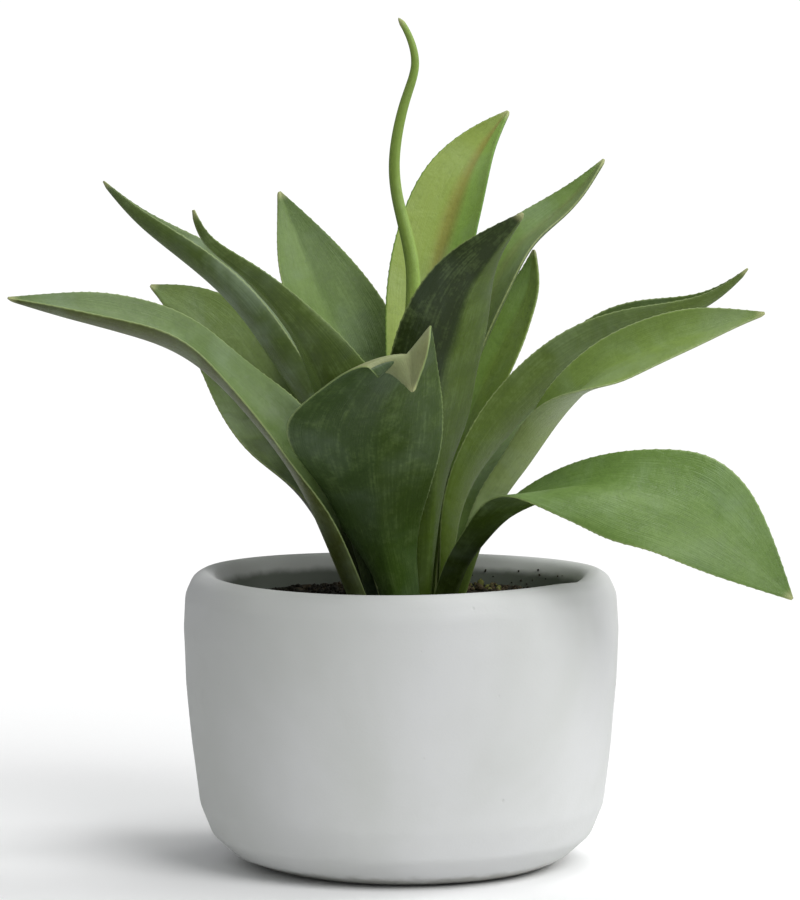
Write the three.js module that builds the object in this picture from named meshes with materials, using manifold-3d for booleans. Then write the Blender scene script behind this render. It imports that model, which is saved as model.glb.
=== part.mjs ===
// Potted agave: a rosette of fleshy leaves in a hand-formed concrete-like pot.
// Millimetres, +Z up, origin on the table under the pot's axis, front towards -Y.
import * as THREE from 'three';
import Module from 'manifold-3d';

// ---------------------------------------------------------------- dimensions
const GAP = 0.3;
const SEGMENTS = 48;

const POT_FOOT_RADIUS = 44.4;
const POT_RIM_HEIGHT = 88;
const POT_FLOOR = 9;
const POT_OUTSIDE = [
  [POT_FOOT_RADIUS, 0], [50.3, 2.6], [57.4, 9], [61, 18], [63.3, 36.5],
  [64.9, 55], [65.5, 71], [64.9, 81], [62.6, 86], [59.5, POT_RIM_HEIGHT],
];
const POT_INSIDE = [
  [56.4, 87], [54.2, 83.5], [53.2, 78], [52, 60], [48, 28], [40, 12], [28, POT_FLOOR],
];
const DENT_ANGLE = -22;
const DENT_SPREAD = 11;
const DENT_DEPTH = 1.6;

const STEM_RADIUS = 5;
const STEM_BOTTOM = 70;
const STEM_TOP = 88;

const SOIL_TOP = 78;
const SOIL_WAVE = 0.5;
const CROWN_RADIUS = 15;
const CROWN_BOTTOM = STEM_BOTTOM - GAP;

const LEAF_STATIONS = 17;
const LEAF_STRIPS = 6;
const V_SHARE = 0.35;
const MIDRIB_THICK = 2.6;
const BASE_THICK = 2.8;
const MARGIN_THICK = 0.9;
const THINNING = 0.55; // share of the midrib's thickness lost by the tip
const WIDTH_SHARE = 1.2; // a leaf is never thicker than this share of its half width
const ABOVE = 0.6; // share of half the thickness above the middle line
const MIN_HALF_WIDTH = 0.4;

const SPEAR_SIDES = 8;
const SPEAR_STATIONS = 25;
const SPEAR_PATH = [
  [1, 2, 89], [2, 4, 124], [3, 6, 160], [3, 7, 181], [-1, 7, 199], [-2, 6, 214],
  [1, 5, 229], [4, 4, 240], [2, 4, 249], [-1, 4, 254],
];
const SPEAR_RADIUS = [3.2, 3, 2.8, 2.6, 2.3, 2.1, 1.85, 1.65, 1.35, 0.9];

// Each leaf: midrib points from base to tip, the azimuth it faces, then evenly spaced
// values along it: roll (deg), half widths (mm), fold of each half (deg).
const LEAVES = [
  {
    name: 'leaf_front_folded', facing: 268,
    path: [
      [1, -14, 74], [-5, -21, 98], [-7, -28, 113], [-8, -38, 127], [-6, -50, 140],
      [-1, -60, 152], [2, -67, 157], [3, -72, 147],
    ],
    roll: [0, 0, 0, 2, 10, 38, 45],
    left: [5.5, 9, 13, 18, 21.5, 20, 13.5, 0.4], right: [5.5, 7.5, 13.5, 20, 26, 21, 14.5, 0.4],
    foldLeft: [30, 30, 15, 15, 20, 10, 5], foldRight: [30, 30, 15, 8, 8, 14, 5],
    curlLeft: [20, 20, 10, 10, 10, 5, 0], curlRight: [20, 20, 10, 5, -20, -30, -15],
  },
  {
    name: 'leaf_left_low', facing: 188,
    path: [
      [-11, -4, 73], [-19, -15, 94], [-30, -22, 118], [-43, -28, 137], [-61, -32, 154],
      [-79, -35, 162], [-97, -37, 167], [-115, -36, 172],
    ],
    roll: [10, 0, -28, -24, -14, -14, -12],
    left: [4.5, 5.5, 8, 10, 11, 11, 7, 0.4], right: [4.5, 6, 12, 16, 15, 14, 11, 0.4],
    foldLeft: [30, 32, 34, 20, 30, 34, 34], foldRight: [30, 32, 34, 20, 30, 34, 34],
  },
  {
    name: 'leaf_right_drooping', facing: 326,
    path: [
      [12, -10, 73], [17, -18, 90], [24, -26, 101], [35, -36, 111], [55, -48, 118],
      [72, -56, 116], [90, -62, 108], [112, -66, 87],
    ],
    roll: [-10, 0, 22, 40, 45, 45],
    left: [4.5, 5.5, 7, 10, 14.5, 19, 11, 0.4], right: [4.5, 5.5, 8, 15, 19, 18, 12, 0.4],
    foldLeft: [30, 30, 30, 10, 0, 0, 5], foldRight: [30, 30, 40, 5, 0, 0, 5],
    curlLeft: [10, 15, 20, 20, 10, 5, 5], curlRight: [10, 15, 0, -30, -5, 0, 0],
  },
  {
    name: 'leaf_front_left', facing: 222,
    path: [
      [-3, -7, 75], [-8, -14, 105], [-18, -26, 134], [-26, -34, 155], [-37, -40, 171],
      [-47, -46, 181], [-56, -49, 189], [-60, -50, 198],
    ],
    roll: [0, 0, 0, 5, 5, 5],
    left: [3.4, 5, 12, 18, 12.5, 7, 4, 0.4], right: [3.4, 5, 9, 11, 8, 4.5, 3.5, 0.4],
    foldLeft: [30, 35, 40, 40, 30, 20], foldRight: [30, 30, 20, 15, 15, 20],
  },
  {
    name: 'leaf_front_right', facing: 305,
    path: [
      [6, -8, 75], [8, -16, 108], [10, -26, 135], [14, -34, 158], [20, -40, 176],
      [28, -44, 188], [35, -46, 197],
    ],
    roll: [0, 0, 0, 0, 0, 0],
    left: [3.4, 4.8, 9, 14.5, 18, 18, 10.5, 0.4], right: [3.4, 4.4, 8, 14, 17, 16, 10, 0.4],
    foldLeft: [30, 30, 20, 20, 25, 35], foldRight: [30, 30, 20, 20, 25, 35],
  },
  {
    name: 'leaf_right_middle', facing: 352,
    path: [
      [15, -3, 74], [25, -10, 104], [36, -14, 121], [47, -17, 137], [61, -18, 150],
      [76, -20, 157], [91, -22, 162], [107, -24, 167],
    ],
    roll: [-20, -15, -10, 15, 25, 25],
    left: [4.5, 5.5, 8, 11, 10.5, 10, 8.5, 0.4], right: [4.5, 5.5, 7, 9.5, 17, 16, 8, 0.4],
    foldLeft: [30, 30, 40, 40, 40, 30], foldRight: [30, 30, 45, 10, 5, 5],
  },
  {
    name: 'leaf_right_upper', facing: 8,
    path: [
      [13, 3, 75], [16, 4, 104], [26, 6, 123], [40, 8, 138], [55, 8, 151],
      [72, 6, 160], [91, 4, 168], [104, 2, 179],
    ],
    roll: [-10, -15, -25, -30, -20, -10],
    left: [4, 4.5, 7, 11, 15, 14, 6.5, 0.4], right: [4.5, 5.5, 10, 13, 13, 10, 5, 0.4],
    foldLeft: [30, 30, 40, 60, 70, 45], foldRight: [30, 30, 40, 40, 45, 50],
  },
  {
    name: 'leaf_left_upper', facing: 178,
    path: [
      [-7, 0, 75], [-15, -2, 103], [-23, -2, 128], [-34, 0, 146], [-48, 2, 166],
      [-64, 5, 181], [-79, 8, 193], [-90, 10, 205],
    ],
    roll: [10, 5, 0, -5, -8, -8, -5],
    left: [3.4, 4.4, 7, 9, 10, 9, 6, 0.4], right: [3.4, 4.4, 8, 14, 16, 13, 7, 0.4],
    foldLeft: [30, 30, 55, 60, 60, 60, 60], foldRight: [30, 30, 50, 50, 45, 40, 40],
  },
  {
    name: 'leaf_back_left_low', facing: 160,
    path: [
      [-11, 5, 74], [-23, 9, 102], [-36, 20, 126], [-47, 28, 142], [-58, 36, 157],
      [-68, 42, 166], [-78, 46, 172],
    ],
    roll: [0, -15, -35, -40, -45, -45],
    left: [4.5, 5, 9, 15.5, 15.5, 12, 8, 0.4], right: [4.5, 5.5, 9, 13, 15, 15, 11, 0.4],
    foldLeft: [30, 30, 20, 10, 10, 10], foldRight: [30, 30, 20, 10, 10, 10],
  },
  {
    name: 'leaf_back_left', facing: 122,
    path: [
      [-4, 7, 76], [-7, 13, 108], [-12, 24, 132], [-18, 34, 153], [-25, 42, 169],
      [-33, 48, 188], [-38, 50, 201],
    ],
    roll: [0, 0, 0, 0, 0, 0],
    left: [3.4, 4.4, 8, 15, 18, 17, 11, 0.4], right: [3.4, 4.4, 8, 14, 19, 18, 11, 0.4],
    foldLeft: [30, 30, 20, 15, 15, 15], foldRight: [30, 30, 20, 15, 15, 15],
  },
  {
    name: 'leaf_back_tall', facing: 62,
    path: [
      [4, 8, 76], [7, 16, 132], [9, 24, 156], [11, 31, 176], [15, 36, 192],
      [20, 40, 205], [26, 44, 216], [33, 46, 226],
    ],
    roll: [0, 0, 0, 0, 0, 0],
    left: [3.4, 4.4, 8, 13, 15, 15, 12, 0.4], right: [3.2, 3.6, 5.5, 11, 18, 18, 11.5, 0.4],
    foldLeft: [30, 30, 35, 30, 30, 30], foldRight: [30, 30, 35, 30, 30, 30],
  },
  {
    name: 'leaf_right_back', facing: 38,
    path: [
      [9, 2, 76], [13, 13, 122], [18, 23, 146], [26, 31, 166], [34, 39, 182],
      [45, 46, 192], [55, 50, 201], [63, 53, 211],
    ],
    roll: [0, 0, 5, 10, 10, 5],
    left: [3.2, 3.6, 5.5, 10, 11, 10, 7, 0.4], right: [3.4, 4.4, 7, 10, 14, 13.5, 9, 0.4],
    foldLeft: [30, 30, 30, 30, 25, 25], foldRight: [30, 30, 30, 30, 25, 25],
  },
  {
    name: 'leaf_back_right', facing: 55,
    path: [
      [9, 10, 75], [15, 21, 108], [20, 28, 130], [27, 34, 146], [34, 40, 160],
      [39, 44, 171], [41, 47, 183],
    ],
    roll: [0, 0, 0, 0, 0, 0],
    left: [4.5, 5.5, 9, 13, 16, 14, 8, 0.4], right: [4, 4.5, 5.5, 7, 9.5, 10, 6.5, 0.4],
    foldLeft: [30, 30, 20, 15, 15, 15], foldRight: [30, 30, 20, 15, 15, 15],
  },
  {
    name: 'leaf_rear', facing: 95,
    path: [[-1, 14, 74], [-1, 22, 100], [-3, 38, 122], [-5, 56, 140], [-7, 74, 152], [-9, 90, 158]],
    roll: [0, 5, 5, 0, -5, -5],
    left: [4, 5, 11, 15, 15, 9, 0.4], right: [4.5, 5.5, 11, 15, 15, 9, 0.4],
    foldLeft: [30, 30, 25, 20, 20, 20], foldRight: [30, 30, 25, 20, 20, 20],
  },
  {
    name: 'leaf_rear_left', facing: 114,
    path: [[-8, 11, 73], [-14, 24, 93], [-21, 42, 110], [-28, 60, 122], [-33, 76, 124], [-37, 90, 120]],
    roll: [0, 0, 5, 10, 10, 5],
    left: [4.5, 5.5, 11, 14, 14, 9, 0.4], right: [4, 5, 11, 14, 14, 9, 0.4],
    foldLeft: [30, 30, 20, 15, 10, 10], foldRight: [30, 30, 20, 15, 10, 10],
  },
  {
    name: 'leaf_rear_right', facing: 66,
    path: [[6, 15, 73], [17, 24, 95], [26, 42, 115], [34, 60, 128], [40, 76, 134], [44, 90, 134]],
    roll: [0, 0, -5, -5, 0, 0],
    left: [4.5, 5.5, 11, 14, 14, 9, 0.4], right: [4.5, 5.5, 11, 14, 14, 9, 0.4],
    foldLeft: [30, 30, 20, 15, 15, 15], foldRight: [30, 30, 20, 15, 15, 15],
  },
];

// ---------------------------------------------------------------- helpers
const wasm = await Module();
wasm.setup();
const { Manifold, Mesh } = wasm;
const rad = (deg) => deg * Math.PI / 180;
const clamp = (value, low, high) => Math.min(high, Math.max(low, value));

/** Second derivatives of the natural cubic spline through evenly spaced values. */
function splineBends(values) {
  const n = values.length;
  const bends = new Array(n).fill(0);
  const sweep = new Array(n).fill(0);
  const carry = new Array(n).fill(0);
  for (let i = 1; i < n - 1; i++) {
    const pivot = 4 - sweep[i - 1];
    sweep[i] = 1 / pivot;
    carry[i] = (6 * (values[i - 1] - 2 * values[i] + values[i + 1]) - carry[i - 1]) / pivot;
  }
  for (let i = n - 2; i > 0; i--) bends[i] = carry[i] - sweep[i] * bends[i + 1];
  return bends;
}

/** A function t (0..1) -> value on the natural cubic spline through evenly spaced values. */
function spline(values) {
  const bends = splineBends(values);
  const last = values.length - 1;
  return (t) => {
    const x = clamp(t, 0, 1) * last;
    const i = Math.min(Math.floor(x), last - 1);
    const f = x - i;
    const g = 1 - f;
    const bow = (g ** 3 - g) * bends[i] + (f ** 3 - f) * bends[i + 1];
    return g * values[i] + f * values[i + 1] + bow / 6;
  };
}

/** Curve through 3-D points: position and unit tangent by share of the arc length. */
function curveThrough(points) {
  const axes = [0, 1, 2].map((k) => spline(points.map((p) => p[k])));
  const at = (t) => new THREE.Vector3(axes[0](t), axes[1](t), axes[2](t));
  const steps = 240;
  const lengths = [0];
  for (let i = 1; i <= steps; i++) {
    lengths.push(lengths[i - 1] + at(i / steps).distanceTo(at((i - 1) / steps)));
  }
  const total = lengths[steps];
  const parameter = (share) => {
    const wanted = share * total;
    let i = 1;
    while (i < steps && lengths[i] < wanted) i++;
    const span = lengths[i] - lengths[i - 1];
    return (i - 1 + (wanted - lengths[i - 1]) / span) / steps;
  };
  return (share) => {
    const t = parameter(share);
    const ahead = at(clamp(t + 0.001, 0, 1));
    const behind = at(clamp(t - 0.001, 0, 1));
    return { centre: at(t), tangent: ahead.sub(behind).normalize() };
  };
}

/** Close a grid of rings (each ring a loop of points) into one solid. */
function solidOfRings(rings) {
  const around = rings[0].length;
  const positions = [];
  for (const ring of rings) {
    for (const p of ring) positions.push(p.x, p.y, p.z);
  }
  const middle = (ring) => {
    const sum = new THREE.Vector3();
    for (const p of ring) sum.add(p);
    return sum.divideScalar(ring.length);
  };
  const first = middle(rings[0]);
  const last = middle(rings[rings.length - 1]);
  positions.push(first.x, first.y, first.z, last.x, last.y, last.z);
  const firstIndex = rings.length * around;
  const lastIndex = firstIndex + 1;
  const faces = [];
  for (let r = 0; r < rings.length - 1; r++) {
    for (let k = 0; k < around; k++) {
      const a = r * around + k;
      const b = r * around + (k + 1) % around;
      faces.push(a, b, b + around, a, b + around, a + around);
    }
  }
  const top = (rings.length - 1) * around;
  for (let k = 0; k < around; k++) {
    const next = (k + 1) % around;
    faces.push(firstIndex, next, k);
    faces.push(lastIndex, top + k, top + next);
  }
  const mesh = new Mesh({
    numProp: 3,
    vertProperties: new Float32Array(positions),
    triVerts: new Uint32Array(faces),
  });
  mesh.merge();
  return new Manifold(mesh);
}

/** Point and inward normal of one leaf half at share |v| from midrib to margin. */
function sectionPoint(half, fold, curl, v) {
  const start = fold - curl;
  const turn = Math.abs(curl) < 1e-4 ? 2e-4 : 2 * curl;
  const angle = start + turn * v;
  return {
    across: half * (Math.sin(angle) - Math.sin(start)) / turn,
    rise: half * (Math.cos(start) - Math.cos(angle)) / turn,
    angle,
  };
}

/** One leaf as a closed solid, grown outward on all sides by `grow`. */
function leafSolid(leaf, grow) {
  const curve = curveThrough(leaf.path);
  const lists = {};
  for (const key of ['roll', 'left', 'right', 'foldLeft', 'foldRight']) {
    lists[key] = spline(leaf[key]);
  }
  const curlOf = (list, fold) => {
    if (!list) return (u) => (1 - V_SHARE) * rad(fold(u));
    const curl = spline(list);
    return (u) => rad(curl(u));
  };
  const curlLeft = curlOf(leaf.curlLeft, lists.foldLeft);
  const curlRight = curlOf(leaf.curlRight, lists.foldRight);
  const facing = rad(leaf.facing);
  const level = new THREE.Vector3(-Math.sin(facing), Math.cos(facing), 0);
  const rings = [];
  for (let i = 0; i < LEAF_STATIONS; i++) {
    const u = i / (LEAF_STATIONS - 1);
    const { centre, tangent } = curve(u);
    const side0 = level.clone().addScaledVector(tangent, -tangent.dot(level)).normalize();
    const side = side0.clone().applyAxisAngle(tangent, rad(lists.roll(u)));
    const normal = new THREE.Vector3().crossVectors(tangent, side);
    const upper = [];
    const lower = [];
    for (let k = 0; k <= LEAF_STRIPS; k++) {
      const v = 1 - 2 * k / LEAF_STRIPS;
      const isLeft = v > 0;
      const half = Math.max(isLeft ? lists.left(u) : lists.right(u), MIN_HALF_WIDTH) + grow;
      const fold = rad(isLeft ? lists.foldLeft(u) : lists.foldRight(u));
      const curl = isLeft ? curlLeft(u) : curlRight(u);
      const s = sectionPoint(half, fold, curl, Math.abs(v));
      const sign = isLeft ? 1 : -1;
      const middle = centre.clone();
      middle.addScaledVector(side, s.across * sign).addScaledVector(normal, s.rise);
      const out = side.clone().multiplyScalar(-Math.sin(s.angle) * sign);
      out.addScaledVector(normal, Math.cos(s.angle));
      const foot = BASE_THICK + (MIDRIB_THICK - BASE_THICK) * Math.min(1, u * 4);
      const rib = foot * (1 - THINNING * u);
      const thick = MARGIN_THICK + (rib - MARGIN_THICK) * (1 - v * v);
      const reach = Math.min(thick, half * WIDTH_SHARE) / 2 + grow;
      upper.push(middle.clone().addScaledVector(out, reach * ABOVE));
      lower.push(middle.clone().addScaledVector(out, reach * (ABOVE - 2)));
    }
    if (grow > 0 && i === 0) {
      for (const p of [...upper, ...lower]) p.addScaledVector(tangent, -grow);
    }
    if (grow > 0 && i === LEAF_STATIONS - 1) {
      for (const p of [...upper, ...lower]) p.addScaledVector(tangent, grow);
    }
    rings.push([...upper, ...lower.reverse()]);
  }
  return solidOfRings(rings);
}

/** The largest separate piece of a solid. */
function largest(solid) {
  const pieces = solid.decompose();
  pieces.sort((a, b) => b.volume() - a.volume());
  return pieces[0];
}

/** A round bar through points, its radius given at even steps. */
function tubeSolid(path, radii, sides, grow) {
  const curve = curveThrough(path);
  const radius = spline(radii);
  const rings = [];
  const reference = new THREE.Vector3(0, 1, 0);
  for (let i = 0; i < SPEAR_STATIONS; i++) {
    const u = i / (SPEAR_STATIONS - 1);
    const { centre, tangent } = curve(u);
    const right = new THREE.Vector3().crossVectors(reference, tangent).normalize();
    const back = new THREE.Vector3().crossVectors(tangent, right);
    const ring = [];
    for (let k = 0; k < sides; k++) {
      const a = 2 * Math.PI * k / sides;
      const r = radius(u) + grow;
      const point = centre.clone().addScaledVector(right, r * Math.cos(a));
      ring.push(point.addScaledVector(back, r * Math.sin(a)));
    }
    rings.push(ring);
  }
  return solidOfRings(rings);
}

/** Revolve [radius, height] points about Z, moving each point by `shape(r, z, angle)`. */
function revolved(profile, segments, shape) {
  const rings = profile.map(([r, z]) => {
    const ring = [];
    for (let k = 0; k < segments; k++) {
      const a = 2 * Math.PI * k / segments;
      const [radius, height] = shape(r, z, a);
      ring.push(new THREE.Vector3(radius * Math.cos(a), radius * Math.sin(a), height));
    }
    return ring;
  });
  return solidOfRings(rings);
}

/** The hand-formed wander of the pot wall: never exactly round, with one pressed dent. */
function handFormed(r, z, a) {
  const share = clamp(z / POT_RIM_HEIGHT, 0, 1) ** 2;
  const wander = 0.35 * Math.sin(2 * a + 0.6) + 0.25 * Math.sin(3 * a - 1.1);
  const turn = Math.atan2(Math.sin(a - rad(DENT_ANGLE)), Math.cos(a - rad(DENT_ANGLE)));
  const dent = DENT_DEPTH * Math.exp(-((turn / rad(DENT_SPREAD)) ** 2));
  const nearLip = Math.exp(-(((z - 79) / 7) ** 2));
  const lift = z > 80 ? 0.5 * Math.sin(2 * a + 2.2) * share : 0;
  return [r + wander * share - dent * nearLip, z + lift - (z > 80 ? dent * 0.6 : 0)];
}

// ---------------------------------------------------------------- solids
const round = (r, z) => [r, z];
const pot = revolved([...POT_OUTSIDE, ...POT_INSIDE], SEGMENTS, handFormed);

const leafBodies = [];
const spear = tubeSolid(SPEAR_PATH, SPEAR_RADIUS, SPEAR_SIDES, 0);
const stem = revolved(
  [[STEM_RADIUS, STEM_BOTTOM], [STEM_RADIUS, STEM_TOP - 6], [STEM_RADIUS * 0.55, STEM_TOP - 1]],
  16, round,
);
const stemRoom = revolved(
  [
    [STEM_RADIUS + GAP, STEM_BOTTOM - GAP], [STEM_RADIUS + GAP, STEM_TOP - 6],
    [STEM_RADIUS * 0.55 + GAP, STEM_TOP - 1 + GAP],
  ],
  16, round,
);
let taken = stemRoom.add(tubeSolid(SPEAR_PATH, SPEAR_RADIUS.map((r) => r + GAP), SPEAR_SIDES, 0));
for (const leaf of LEAVES) {
  const body = largest(leafSolid(leaf, 0).subtract(taken));
  leafBodies.push({ name: leaf.name, body });
  taken = taken.add(leafSolid(leaf, GAP)).add(body);
}

const soilFill = revolved(
  [
    [27, POT_FLOOR + 0.5], [39.4, 12.6], [47.5, 28.2], [51.5, 60], [52.7, SOIL_TOP - 0.2],
    [48, SOIL_TOP], [30, SOIL_TOP + 0.4],
  ],
  SEGMENTS,
  (r, z, a) => {
    const [radius, height] = handFormed(r, z, a);
    const wave = SOIL_WAVE * Math.sin(5 * a) * Math.sin(r / 9);
    return [radius, r < 50 && z > 70 ? height + wave : height];
  },
);
const crownWell = revolved([[CROWN_RADIUS, CROWN_BOTTOM], [CROWN_RADIUS, SOIL_TOP + 4]], 24, round);
const soil = largest(soilFill.subtract(crownWell).subtract(taken));

// ---------------------------------------------------------------- scene
const MATERIALS = {
  pot: new THREE.MeshStandardMaterial({ name: 'concrete', color: 0xc3c5c6, roughness: 0.85 }),
  soil: new THREE.MeshStandardMaterial({ name: 'soil', color: 0x2b2a22, roughness: 1 }),
  leaf: new THREE.MeshStandardMaterial({ name: 'leaf', color: 0x5c8a48, roughness: 0.55 }),
  spear: new THREE.MeshStandardMaterial({ name: 'young_leaf', color: 0x9fb458, roughness: 0.5 }),
};

/** A named three.js mesh from a solid. */
function meshOf(name, solid, material) {
  const data = solid.getMesh();
  const geometry = new THREE.BufferGeometry();
  const corners = new Float32Array(data.numVert * 3);
  for (let i = 0; i < data.numVert; i++) {
    for (let k = 0; k < 3; k++) corners[3 * i + k] = data.vertProperties[data.numProp * i + k];
  }
  geometry.setAttribute('position', new THREE.BufferAttribute(corners, 3));
  geometry.setIndex(new THREE.BufferAttribute(new Uint32Array(data.triVerts), 1));
  geometry.computeVertexNormals();
  const mesh = new THREE.Mesh(geometry, material);
  mesh.name = name;
  return mesh;
}

const group = new THREE.Group();
group.name = 'potted_agave';
group.add(meshOf('pot', pot, MATERIALS.pot));
group.add(meshOf('soil', soil, MATERIALS.soil));
group.add(meshOf('crown_stem', stem, MATERIALS.leaf));
group.add(meshOf('spear_leaf', largest(spear), MATERIALS.spear));
for (const { name, body } of leafBodies) group.add(meshOf(name, body, MATERIALS.leaf));

export default group;
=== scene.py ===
"""Looks of a potted agave: a rosette of fleshy leaves in a hand-formed, concrete-like pot.

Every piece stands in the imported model's own frame, in metres, +Z up, front towards -Y.
Lengths inside this file are millimetres and become metres where a mesh is made.
"""

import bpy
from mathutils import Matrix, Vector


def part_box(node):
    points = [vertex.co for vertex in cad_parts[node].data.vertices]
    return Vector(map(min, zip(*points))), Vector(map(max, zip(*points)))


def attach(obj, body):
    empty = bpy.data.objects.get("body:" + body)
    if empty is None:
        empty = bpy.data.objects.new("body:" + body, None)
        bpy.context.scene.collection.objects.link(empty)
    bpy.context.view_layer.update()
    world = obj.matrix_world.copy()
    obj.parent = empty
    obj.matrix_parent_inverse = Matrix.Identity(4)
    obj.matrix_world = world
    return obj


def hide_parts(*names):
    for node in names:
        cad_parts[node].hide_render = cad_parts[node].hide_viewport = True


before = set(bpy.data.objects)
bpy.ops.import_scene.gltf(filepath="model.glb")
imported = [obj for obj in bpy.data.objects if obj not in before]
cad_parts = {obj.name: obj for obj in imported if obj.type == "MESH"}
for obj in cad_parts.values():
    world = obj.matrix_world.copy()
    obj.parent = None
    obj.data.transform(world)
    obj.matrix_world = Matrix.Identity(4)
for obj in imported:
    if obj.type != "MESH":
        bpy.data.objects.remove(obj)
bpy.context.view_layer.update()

import logging
import math
from dataclasses import dataclass, field
from enum import Enum
from typing import Callable, Optional, Sequence, Union

import bpy
import numpy as np

log = logging.getLogger("agave")

Tone = tuple[int, int, int]
Socket = bpy.types.NodeSocket
Value = Union[float, Sequence[float], Socket]

MM = 0.001
BODY = "root"


class Slot(Enum):
    """Names of the part's material slots."""

    CONCRETE = "pot_concrete"
    SOIL = "potting_soil"
    LEAF = "leaf_green"
    YOUNG = "young_leaf"


# ---------------------------------------------------------------- curves and meshes
def spline(values: Sequence, share: np.ndarray) -> np.ndarray:
    """Natural cubic spline through evenly spaced values.

    Between two neighbours the curve is their straight blend plus a cubic bow, and the bows
    are solved so that slope and bend carry over, with no bend at either end.

    Args:
        values: Numbers or points at even steps.
        share: Places along the curve, 0 to 1.

    Returns:
        The curve's value at each share.
    """
    knots = np.asarray(values, dtype=float)
    last = len(knots) - 1
    system = 4 * np.eye(last + 1) + np.eye(last + 1, k=1) + np.eye(last + 1, k=-1)
    system[0] = np.eye(last + 1)[0]
    system[last] = np.eye(last + 1)[last]
    pull = np.zeros_like(knots)
    pull[1:-1] = 6 * (knots[:-2] - 2 * knots[1:-1] + knots[2:])
    bends = np.linalg.solve(system, pull)
    place = np.clip(share, 0, 1) * last
    index = np.minimum(place.astype(int), last - 1)
    after = (place - index).reshape((-1,) + (1,) * (knots.ndim - 1))
    before = 1 - after
    bow = (before**3 - before) * bends[index] + (after**3 - after) * bends[index + 1]
    return before * knots[index] + after * knots[index + 1] + bow / 6


def unit(vectors: np.ndarray) -> np.ndarray:
    """The vectors at length one."""
    return vectors / np.maximum(np.linalg.norm(vectors, axis=-1, keepdims=True), 1e-9)


def dots(one: np.ndarray, two: np.ndarray) -> np.ndarray:
    """Dot products along the last axis, kept as a column."""
    return np.sum(one * two, axis=-1, keepdims=True)


def bell(distance: np.ndarray, width: float) -> np.ndarray:
    """Smooth bump: 1 at no distance, falling as exp(-(distance / width) squared)."""
    return np.exp(-((distance / width) ** 2))


@dataclass(frozen=True)
class Path:
    """A curve through points, read by share of its own length.

    Args:
        points: Points in mm.
    """

    points: Sequence

    def walk(self, share: np.ndarray) -> tuple[np.ndarray, np.ndarray, float]:
        """Positions and unit tangents at shares of the curve's length.

        Args:
            share: Places from 0, the start, to 1, the end.

        Returns:
            Positions, tangents and the curve's length in mm.
        """
        fine = np.linspace(0, 1, 481)
        track = spline(self.points, fine)
        run = np.concatenate([[0.0], np.cumsum(np.linalg.norm(np.diff(track, axis=0), axis=1))])
        place = np.interp(share, run / run[-1], fine)
        ahead = spline(self.points, np.clip(place + 0.001, 0, 1))
        behind = spline(self.points, np.clip(place - 0.001, 0, 1))
        return spline(self.points, place), unit(ahead - behind), float(run[-1])


def closed_skin(
    name: str,
    rings: np.ndarray,
    uv: Optional[np.ndarray] = None,
    layers: Optional[dict[str, np.ndarray]] = None,
) -> bpy.types.Object:
    """Make an object from a grid of closed rings, with a point closing each end.

    Neighbouring rings are joined by quads and each end ring by a fan to its middle. The
    volume's sign tells which way the faces look, and they are turned to look outwards.

    Args:
        name: Name of the piece.
        rings: Points in mm, rings by points around by 3.
        uv: Surface coordinates, rings by points around by 2.
        layers: Point attributes, each rings by points around.

    Returns:
        The piece, at the origin, with smooth faces.
    """
    stations, around, _ = rings.shape
    ends = np.stack([rings[0].mean(axis=0), rings[-1].mean(axis=0)])
    points = np.concatenate([rings.reshape(-1, 3), ends]) * MM
    here = np.arange(around)
    there = (here + 1) % around
    row = (np.arange(stations - 1) * around)[:, None]
    quads = np.stack([row + here, row + there, row + there + around, row + here + around], -1)
    quads = quads.reshape(-1, 4)
    top = (stations - 1) * around
    first = np.stack([np.full(around, len(points) - 2), there, here], -1)
    last = np.stack([np.full(around, len(points) - 1), top + here, top + there], -1)
    fans = np.concatenate([first, last])
    half_one = points[quads[:, [0, 1, 2]]]
    half_two = points[quads[:, [0, 2, 3]]]
    triangles = np.concatenate([half_one, half_two, points[fans]])
    volume = np.sum(triangles[:, 0] * np.cross(triangles[:, 1], triangles[:, 2]))
    if volume < 0:
        quads = quads[:, ::-1]
        fans = fans[:, ::-1]
    piece = skin_object(name, points, quads.tolist() + fans.tolist())
    corner = np.zeros(len(piece.data.loops), dtype=np.int32)
    piece.data.loops.foreach_get("vertex_index", corner)
    if uv is not None:
        spread = np.concatenate([uv.reshape(-1, 2), uv[0].mean(0)[None], uv[-1].mean(0)[None]])
        piece.data.uv_layers.new(name="surface").data.foreach_set("uv", spread[corner].ravel())
    for layer, grid in (layers or {}).items():
        whole = np.concatenate([grid.ravel(), [grid[0].mean(), grid[-1].mean()]])
        data = piece.data.attributes.new(layer, "FLOAT", "POINT").data
        data.foreach_set("value", whole.astype(np.float32))
    return piece


def skin_object(name: str, points: np.ndarray, faces: list) -> bpy.types.Object:
    """A smooth-shaded object from points in metres and faces, linked into the scene."""
    mesh = bpy.data.meshes.new(name)
    mesh.from_pydata(points.tolist(), [], faces)
    mesh.polygons.foreach_set("use_smooth", np.ones(len(mesh.polygons), dtype=bool))
    mesh.update()
    piece = bpy.data.objects.new(name, mesh)
    bpy.context.scene.collection.objects.link(piece)
    return piece


def settle(piece: bpy.types.Object, slot: Slot, material: bpy.types.Material, *nodes: str) -> None:
    """Dress a piece, ride it on the body and let it stand for its model nodes.

    Args:
        piece: The finished piece.
        slot: The slot its finish comes from; not used.
        material: Its material.
        nodes: Model nodes that the piece replaces.
    """
    piece.data.materials.clear()
    piece.data.materials.append(material)
    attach(piece, BODY)
    if nodes:
        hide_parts(*nodes)
    corners = np.array([list(corner) for corner in piece.bound_box])
    size = (corners.max(axis=0) - corners.min(axis=0)) / MM
    count = len(piece.data.polygons)
    log.info("%-22s %6d faces, %.0f x %.0f x %.0f mm", piece.name, count, *size)


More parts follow.
